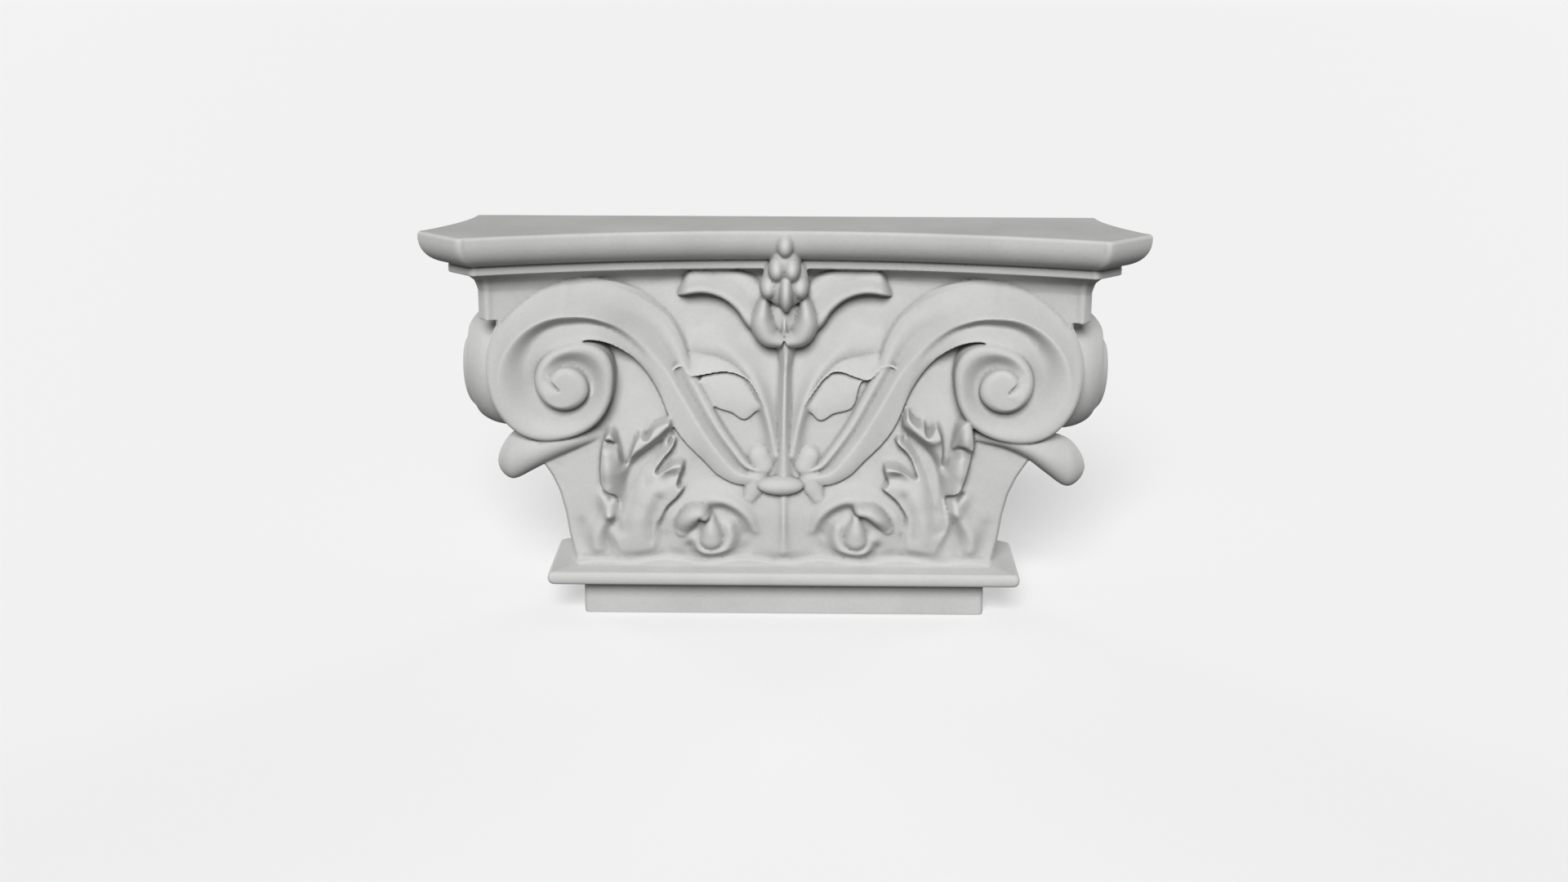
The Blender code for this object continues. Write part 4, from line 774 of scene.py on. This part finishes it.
def outline_at(inset):
    """Plan outline (x, p) of the abacus at an inset, 0 at the top edge and 1 at the die."""
    def level(pair):
        return pair[0] + (pair[1] - pair[0]) * inset
    corner = np.array([level(CORNER_X), level(CORNER_P)])
    tip = np.array([level(POINT_X), level(POINT_P)])
    wall = level(WALL_X)
    middle = level(MIDDLE_P)
    p = np.linspace(BEHIND_WALL, tip[1], ABACUS_SIDE_STEPS)
    reach = np.clip(p, 0.0, None) / tip[1]
    flank = np.stack([wall + (tip[0] - wall) * reach ** RETURN_CURVE, p], axis=1)
    x = np.linspace(corner[0], 0.0, ABACUS_FRONT_STEPS)
    front = np.stack([x, middle + (corner[1] - middle) * (x / corner[0]) ** 2], axis=1)
    right = np.vstack([flank[:-1], rounded(flank[-2], tip, corner, ARRIS_ROUNDING),
                       rounded(tip, corner, front[1], ARRIS_ROUNDING), front[1:]])
    left = right[:-1][::-1] * (-1.0, 1.0)
    return np.vstack([right, left])


def tube_faces(rows, around):
    """Faces of a closed tube through rings of points, with both ends capped."""
    faces = []
    for k in range(rows - 1):
        for i in range(around):
            j = (i + 1) % around
            faces.append((k * around + i, k * around + j, (k + 1) * around + j, (k + 1) * around + i))
    faces.append(tuple(range(around)))
    faces.append(tuple(range((rows - 1) * around, rows * around)))
    return faces


def lofted(name, levels):
    """A closed solid through plan outlines given as (outline, z), bottom to top."""
    points = [(x, p, z) for outline, z in levels for x, p in outline]
    return mesh_object(name, points, tube_faces(len(levels), len(levels[0][0])))


def abacus():
    """The abacus from the die up: cavetto, fillet, ovolo and top band."""
    levels = [(1.0, DIE_BOTTOM), (1.0, DIE_TOP)]
    for k in range(1, CAVETTO_STEPS + 1):
        turn = math.pi / 2.0 * k / CAVETTO_STEPS
        inset = 1.0 - CAVETTO_REACH * (1.0 - math.cos(turn))
        levels.append((inset, DIE_TOP + (FILLET_BOTTOM - DIE_TOP) * math.sin(turn)))
    levels.append((FILLET_INSET, FILLET_BOTTOM + FILLET_EASE))
    levels.append((FILLET_INSET, FILLET_TOP))
    levels.append((OVOLO_INSET, OVOLO_BOTTOM))
    ovolo_top = PARTS_TALL - EDGE_BAND
    for k in range(1, OVOLO_STEPS + 1):
        turn = math.pi / 2.0 * k / OVOLO_STEPS
        inset = OVOLO_INSET * (1.0 - math.sin(turn))
        levels.append((inset, ovolo_top - (ovolo_top - OVOLO_BOTTOM) * math.cos(turn)))
    levels.append((0.0, PARTS_TALL - TOP_ROUNDING))
    levels.append((TOP_EASE, PARTS_TALL))
    return lofted("abacus", [(outline_at(inset), z) for inset, z in levels])


def box_outline(half, front, round_by):
    """Plan outline of the neck or the moulding with rounded front corners."""
    right = [(half, BEHIND_WALL)]
    for turn in (0.0, math.pi / 4.0, math.pi / 2.0):
        x = half - round_by + round_by * math.cos(turn)
        right.append((x, front - round_by + round_by * math.sin(turn)))
    left = [(-x, p) for x, p in reversed(right)]
    return np.array(right + left)


def neck_and_moulding():
    """The neck strip and the moulding over it: a round nose, a ledge and a slope up to the bell."""
    half = PARTS_NECK / 2.0
    rows = [(0.0, 0.0), (0.0, MOULDING_UNDERSIDE - 2.0 * NECK_FILLET)]
    rows.append((FILLET_SHARE, MOULDING_UNDERSIDE - NECK_FILLET))
    rows.append((FILLET_SHARE, MOULDING_UNDERSIDE))
    nose = (MOULDING_SHOULDER - MOULDING_UNDERSIDE) / 2.0
    for k in range(NOSE_STEPS + 1):
        turn = math.pi * (k / NOSE_STEPS - 0.5)
        share = 1.0 - NOSE_ROUNDING * (1.0 - math.cos(turn))
        rows.append((share, MOULDING_UNDERSIDE + nose * (1.0 + math.sin(turn))))
    rows.append((LEDGE_SHARE, MOULDING_SHOULDER + LEDGE_RISE))
    rows.append((SLOPE_SHARE, MOULDING_TOP))
    levels = []
    for share, z in rows:
        outline = box_outline(half + MOULDING_REACH * share, PARTS_NECK_DEEP + MOULDING_FRONT_REACH * share,
                              CORNER_ROUNDING)
        levels.append((outline, z))
    return lofted("neck and moulding", levels)


def bell():
    """The bell's body with its leaf carving, from inside the moulding up into the abacus."""
    rows = []
    z = np.linspace(BELL_FOOT, BELL_HEAD, BELL_ROWS)
    half = np.interp(z, BELL_LEVELS, BELL_HALF)
    share = np.linspace(1.0, -1.0, BELL_COLUMNS)[None, :]
    x = (half[:, None] - BELL_ARRIS) * share
    z_grid = z[:, None] + 0.0 * x
    front = bell_front(x, z_grid) + relief(x, z_grid)
    for i in range(BELL_ROWS):
        p = np.linspace(BEHIND_WALL, front[i, 0] - BELL_ARRIS, BELL_SIDE_STEPS)
        right = np.stack([np.full_like(p, half[i]), p], axis=1)
        p = np.linspace(front[i, -1] - BELL_ARRIS, BEHIND_WALL, BELL_SIDE_STEPS)
        left = np.stack([np.full_like(p, -half[i]), p], axis=1)
        rows.append((np.vstack([right, np.stack([x[i], front[i]], axis=1), left]), z[i]))
    return lofted("bell", rows)


def stem_and_flower():
    """The central stem with its ring, and the flower with its seed head, cups and petals."""
    pieces = [central_stem(), ball("ring", RING)]
    pieces += [ball("seed head", form) for form in SEED_HEAD]
    for side in (-1, 1):
        pieces.append(petal(side))
        pieces.append(cup(side))
        for (x, p, z), radii in FLOWER_PAIRS:
            pieces.append(ball("flower lobe", ((side * x, p, z), radii)))
    return pieces


def cup(side):
    """One of the two swollen cups that hold the seed head, a rounded band along its spine."""
    line = curve_through(CUP_SPINE, STEPS_ALONG)
    half = values_along(CUP_HALF, STEPS_ALONG)[:, None]
    front = values_along(CUP_FRONT, STEPS_ALONG)[:, None]
    run = np.gradient(line, axis=0)
    run = run / np.linalg.norm(run, axis=1, keepdims=True)
    turn = np.linspace(0.0, 2.0 * math.pi, CUP_AROUND, endpoint=False)[None, :]
    across = half * np.cos(turn)
    ends = 1.0 - np.linspace(*CUP_ENDS, STEPS_ALONG) ** CUP_END_CURVE
    ends = np.sqrt(np.clip(ends, CUP_END_LEAST, 1.0))[:, None]
    x = side * (line[:, :1] + ends * across * run[:, 1:])
    z = line[:, 1:] - ends * across * run[:, :1]
    p = front - CUP_DEEP + CUP_DEEP * ends * np.sin(turn)
    points = np.stack([x, p, z], axis=-1).reshape(-1, 3)
    return mesh_object("cup", points, tube_faces(STEPS_ALONG, CUP_AROUND))


def central_stem():
    """The central stem, a rib between two softer flanks."""
    line = curve_through(CENTRE_STEM, STEPS_ALONG)
    width = values_along(CENTRE_STEM_HALF, STEPS_ALONG)[:, None] * (1.0, 0.0)
    share = np.linspace(-1.0, 1.0, STEPS_ACROSS)[None, :]
    rise = values_along(CENTRE_STEM_RISE, STEPS_ALONG)[:, None] + STALK_SUNK
    flanks = np.sqrt(np.clip(1.0 - share ** 2, 0.0, 1.0))
    rib = np.exp(-(share / STEM_RIB_HALF) ** 2)
    profile = flanks * (1.0 - STEM_RIB_SHARE) + rib * STEM_RIB_SHARE
    return relief_band("central stem", 1, line - width, line + width, rise * profile - STALK_SUNK)


def petal(side):
    """A wide petal with a thick rolled lower edge and a blunt drooping tip."""
    upper = curve_through(PETAL_UPPER, STEPS_ALONG)
    lower = curve_through(PETAL_LOWER, STEPS_ALONG)
    share = np.linspace(0.0, 1.0, 2 * STEPS_ACROSS)[None, :]
    along = np.linspace(0.0, 1.0, STEPS_ALONG)[:, None]
    edge = quarter_round(1.0 - share / PETAL_EDGE)
    roll = quarter_round((share - PETAL_ROLL_START) / PETAL_ROLL_SPAN)
    dish = 1.0 - PETAL_DISH + PETAL_DISH * eased((share - PETAL_DISH_START) / PETAL_DISH_SPAN)
    end = quarter_round((along - 1.0 + PETAL_END) / PETAL_END, PETAL_END_LEAST)
    rise = values_along(PETAL_RISE, STEPS_ALONG)[:, None]
    return relief_band("petal", side, upper, lower, rise * edge * roll * dish * end)


def stem_leaf(side):
    """A leaf on the central stem: a blade with a crisp wavy edge over a broad lower lobe."""
    share = np.linspace(0.0, 1.0, STEPS_ACROSS)[None, :]
    along = np.linspace(0.0, 1.0, STEPS_ALONG)[:, None]
    top = curve_through(LEAF_TOP, STEPS_ALONG)
    crease = curve_through(LEAF_CREASE[side], STEPS_ALONG)
    blade = (LEAF_RISE + LEAF_SUNK) * share ** LEAF_CURVE * (1.0 - LEAF_TAPER * along) - LEAF_SUNK
    root = curve_through(LOBE_TOP, STEPS_ALONG)
    edge = curve_through(LOBE_EDGE_LINE[side], STEPS_ALONG)
    swell = 1.0 - LOBE_SWELL + LOBE_SWELL * np.sin(math.pi * share * LOBE_TURN)
    lobe = LOBE_RISE * swell + 0.0 * along
    return [relief_band("leaf blade", side, top, crease, blade),
            relief_band("leaf lobe", side, root, edge, lobe)]


def corner_tip(side):
    """The drooping leaf tip under the corner volutes, a loft of rounded sections along its run."""
    share = np.linspace(0.0, 1.0, TIP_STATIONS)
    x = side * (TIP_ROOT + (TIP_REACH[side] - TIP_ROOT) * share)
    under = values_along(TIP_UNDER[side], TIP_STATIONS)
    over = values_along(TIP_OVER[side], TIP_STATIONS)
    deep = values_along(TIP_HALF_DEEP, TIP_STATIONS)[:, None]
    end = quarter_round((share - 1.0 + TIP_END) / TIP_END, TIP_END_LEAST)[:, None]
    turn = np.linspace(0.0, 2.0 * math.pi, TIP_AROUND, endpoint=False)[None, :]
    z = ((over + under) / 2.0)[:, None] + ((over - under) / 2.0)[:, None] * end * np.sin(turn)
    p = TIP_P + deep * end * np.cos(turn)
    points = np.stack([x[:, None] + 0.0 * turn, p, z], axis=-1).reshape(-1, 3)
    return mesh_object("corner tip", points, tube_faces(TIP_STATIONS, TIP_AROUND))


def joined(pieces, name):
    """The pieces as one object, still overlapping."""
    bpy.ops.object.select_all(action="DESELECT")
    for piece in pieces:
        piece.select_set(True)
    bpy.context.view_layer.objects.active = pieces[0]
    bpy.ops.object.join()
    pieces[0].name = name
    pieces[0].data.name = name
    return pieces[0]


def carved_pieces():
    """The bell and all that is carved on it, as overlapping closed pieces."""
    pieces = [bell()]
    pieces += stem_and_flower()
    for side in (-1, 1):
        pieces.append(scroll(side))
        pieces.append(side_volute(side))
        pieces.append(corner_tip(side))
        pieces += stem_leaf(side)
    return pieces


def room_in_front():
    """The space in front of the wall, which cuts the back flat."""
    bpy.ops.mesh.primitive_cube_add(size=1.0)
    room = bpy.context.object
    room.name = "room in front of the wall"
    size = 2.0 * max(ABACUS_WIDTH, HEIGHT)
    room.scale = (size, size, size)
    room.location = (0.0, WALL - size / 2.0, HEIGHT / 2.0)
    bpy.ops.object.transform_apply(location=True, rotation=False, scale=True)
    return room


def replaced_mesh(piece):
    """Applies a piece's modifiers, so that its mesh is what they make of it."""
    graph = bpy.context.evaluated_depsgraph_get()
    graph.update()
    mesh = bpy.data.meshes.new_from_object(piece.evaluated_get(graph))
    piece.modifiers.clear()
    old = piece.data
    piece.data = mesh
    bpy.data.meshes.remove(old)


def dressed_block():
    """The whole capital as one fine closed mesh with softened edges and a flat back."""
    block = joined(carved_pieces() + [abacus(), neck_and_moulding()], "carving")
    fuse = block.modifiers.new("fuse", "REMESH")
    fuse.mode = "VOXEL"
    fuse.voxel_size = FUSE_CELL
    ease = block.modifiers.new("ease", "SMOOTH")
    ease.factor = FUSE_EASE
    ease.iterations = FUSE_ROUNDS
    replaced_mesh(block)
    room = room_in_front()
    cut = block.modifiers.new("cut", "BOOLEAN")
    cut.operation = "INTERSECT"
    cut.solver = "EXACT"
    cut.object = room
    replaced_mesh(block)
    bpy.data.objects.remove(room, do_unlink=True)
    thin = block.modifiers.new("thin", "DECIMATE")
    block.data.calc_loop_triangles()
    thin.ratio = min(1.0, TRIANGLE_BUDGET / len(block.data.loop_triangles))
    replaced_mesh(block)
    block.name = "carved_capital"
    block.data.name = "carved_capital"
    block.data.materials.clear()
    block.data.materials.append(stone_material())
    block.data.shade_smooth()
    block.data.set_sharp_from_angle(angle=math.radians(SHARP_ANGLE))
    return block


def node_at(tree, kind, **inputs):
    """A shader node with some of its inputs set."""
    node = tree.nodes.new(kind)
    for name, value in inputs.items():
        node.inputs[name].default_value = value
    return node


def mixed(tree, blend, factor, first, second):
    """A colour mix of two sources, each a socket or a plain colour."""
    node = tree.nodes.new("ShaderNodeMix")
    node.data_type = "RGBA"
    node.blend_type = blend
    node.clamp_factor = True
    for socket, value in zip(MIX_INPUTS, (factor, first, second)):
        if isinstance(value, bpy.types.NodeSocket):
            tree.links.new(value, node.inputs[socket])
        else:
            node.inputs[socket].default_value = value
    return node.outputs[MIX_RESULT]


def ranged(tree, value, span, to_low, to_high):
    """A value mapped from its span to another range and kept inside it."""
    limits = {"From Min": span[0], "From Max": span[1], "To Min": to_low, "To Max": to_high}
    node = node_at(tree, "ShaderNodeMapRange", **limits)
    tree.links.new(value, node.inputs["Value"])
    return node.outputs["Result"]


def stone_material():
    """Smooth pale grey stone: fine grain, faint clouds, painted shade in the creases and hollows, painted
    highlights on the edges.
    """
    material = bpy.data.materials.new("light_stone")
    material.use_nodes = True
    tree = material.node_tree
    shader = tree.nodes["Principled BSDF"]
    place = tree.nodes.new("ShaderNodeTexCoord").outputs["Object"]
    clouds = node_at(tree, "ShaderNodeTexNoise", **CLOUDS)
    grain = node_at(tree, "ShaderNodeTexNoise", **GRAIN)
    specks = node_at(tree, "ShaderNodeTexVoronoi", Scale=SPECK_SCALE)
    pits = node_at(tree, "ShaderNodeTexNoise", **PITS)
    for texture in (clouds, grain, specks, pits):
        tree.links.new(place, texture.inputs["Vector"])
    cloudy = ranged(tree, clouds.outputs["Fac"], CLOUD_SPAN, 0.0, 1.0)
    tone = mixed(tree, "MIX", cloudy, STONE_DARK, STONE_LIGHT)
    fine = ranged(tree, grain.outputs["Fac"], GRAIN_SPAN, 0.0, GRAIN_SHARE)
    tone = mixed(tree, "MULTIPLY", fine, tone, GRAIN_COLOUR)
    spots = ranged(tree, specks.outputs["Distance"], SPECK_SPAN, SPECK_SHARE, 0.0)
    tone = mixed(tree, "MIX", spots, tone, SPECK_COLOUR)
    bend = tree.nodes.new("ShaderNodeNewGeometry").outputs["Pointiness"]
    # Painted shade: creases and hollows darkened by how sharply they bend inwards
    painted_shade = ranged(tree, bend, PAINTED_SHADE_SPAN, PAINTED_SHADE_SHARE, 0.0)
    tone = mixed(tree, "MIX", painted_shade, tone, PAINTED_SHADE_COLOUR)
    # Painted highlight: sharp edges lightened by how sharply they bend outwards
    painted_highlight = ranged(tree, bend, PAINTED_HIGHLIGHT_SPAN, 0.0, PAINTED_HIGHLIGHT_SHARE)
    tone = mixed(tree, "MIX", painted_highlight, tone, PAINTED_HIGHLIGHT_COLOUR)
    tree.links.new(tone, shader.inputs["Base Color"])
    rough = ranged(tree, clouds.outputs["Fac"], ROUGH_SPAN, ROUGH_LOW, ROUGH_HIGH)
    tree.links.new(rough, shader.inputs["Roughness"])
    shader.inputs["Specular IOR Level"].default_value = SHINE
    coarse = node_at(tree, "ShaderNodeBump", Strength=TOOLING_STRENGTH, Distance=TOOLING_DEPTH)
    tree.links.new(grain.outputs["Fac"], coarse.inputs["Height"])
    pitted = node_at(tree, "ShaderNodeBump", Strength=PIT_STRENGTH, Distance=PIT_DEPTH)
    tree.links.new(pits.outputs["Fac"], pitted.inputs["Height"])
    tree.links.new(coarse.outputs["Normal"], pitted.inputs["Normal"])
    tree.links.new(pitted.outputs["Normal"], shader.inputs["Normal"])
    return material


def paper_material():
    """Pale backdrop paper with a glow of its own, which keeps shadows on it faint."""
    material = bpy.data.materials.new("pale_paper")
    material.use_nodes = True
    shader = material.node_tree.nodes["Principled BSDF"]
    shader.inputs["Base Color"].default_value = FLOOR_COLOUR
    shader.inputs["Roughness"].default_value = FLOOR_ROUGH
    shader.inputs["Specular IOR Level"].default_value = FLOOR_SHINE
    shader.inputs["Emission Color"].default_value = WHITE
    shader.inputs["Emission Strength"].default_value = FLOOR_GLOW
    return material


def studio_floor():
    """A wide pale floor that sweeps up far away, and throws neither light nor shadow at the capital."""
    bpy.ops.mesh.primitive_grid_add(x_subdivisions=FLOOR_STEPS, y_subdivisions=FLOOR_STEPS,
                                    size=2.0 * FLOOR_HALF)
    floor = bpy.context.object
    floor.name = "studio_floor"
    for vertex in floor.data.vertices:
        far = (vertex.co.xy.length - FLOOR_FLAT) / (FLOOR_HALF - FLOOR_FLAT)
        vertex.co.z = FLOOR_RISE * float(eased(far)) - FLOOR_GAP
    floor.data.shade_smooth()
    floor.visible_diffuse = False
    floor.visible_glossy = False
    floor.visible_shadow = False
    floor.data.materials.append(paper_material())


def sun(name, height, aside, strength):
    """A broad far light from a height and a turn round the capital, in degrees, from its front."""
    lamp = bpy.data.lights.new(name, "SUN")
    lamp.angle = math.radians(LIGHT_SPREAD)
    lamp.energy = strength
    light = bpy.data.objects.new(name, lamp)
    light.rotation_euler = (math.radians(90.0 - height), 0.0, math.radians(aside))
    light.location = LIGHT_PLACE
    bpy.context.scene.collection.objects.link(light)


def studio_lights():
    """The key from the camera's side, two low fills from behind, and an even surround."""
    sun("key", KEY_HEIGHT, KEY_ASIDE, KEY_STRENGTH)
    for side in (-1, 1):
        sun("back fill", FILL_HEIGHT, side * FILL_ASIDE, FILL_STRENGTH)
    world = bpy.data.worlds.new("studio")
    world.use_nodes = True
    ground = world.node_tree.nodes["Background"]
    ground.inputs["Color"].default_value = WHITE
    ground.inputs["Strength"].default_value = SURROUND_STRENGTH
    bpy.context.scene.world = world


def photo_camera():
    """The camera at the photograph's place: a little right of centre, looking down."""
    lens = bpy.data.cameras.new("photo_camera")
    lens.sensor_width = SENSOR_WIDTH
    lens.lens = LENS
    lens.clip_start = NEAREST_SEEN
    camera = bpy.data.objects.new("photo_camera", lens)
    pitch, yaw, roll = (math.radians(angle) for angle in (CAMERA_PITCH, CAMERA_YAW, CAMERA_ROLL))
    turn = Matrix.Rotation(yaw, 4, "Z") @ Matrix.Rotation(math.pi / 2.0 - pitch, 4, "X")
    camera.matrix_world = Matrix.Translation(CAMERA_PLACE) @ turn @ Matrix.Rotation(roll, 4, "Z")
    bpy.context.scene.collection.objects.link(camera)
    bpy.context.scene.camera = camera


capital = dressed_block()
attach(capital, "root")
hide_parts("pilaster_capital")
studio_floor()
studio_lights()
photo_camera()
bpy.context.scene.view_settings.view_transform = "Standard"
bpy.context.view_layer.update()
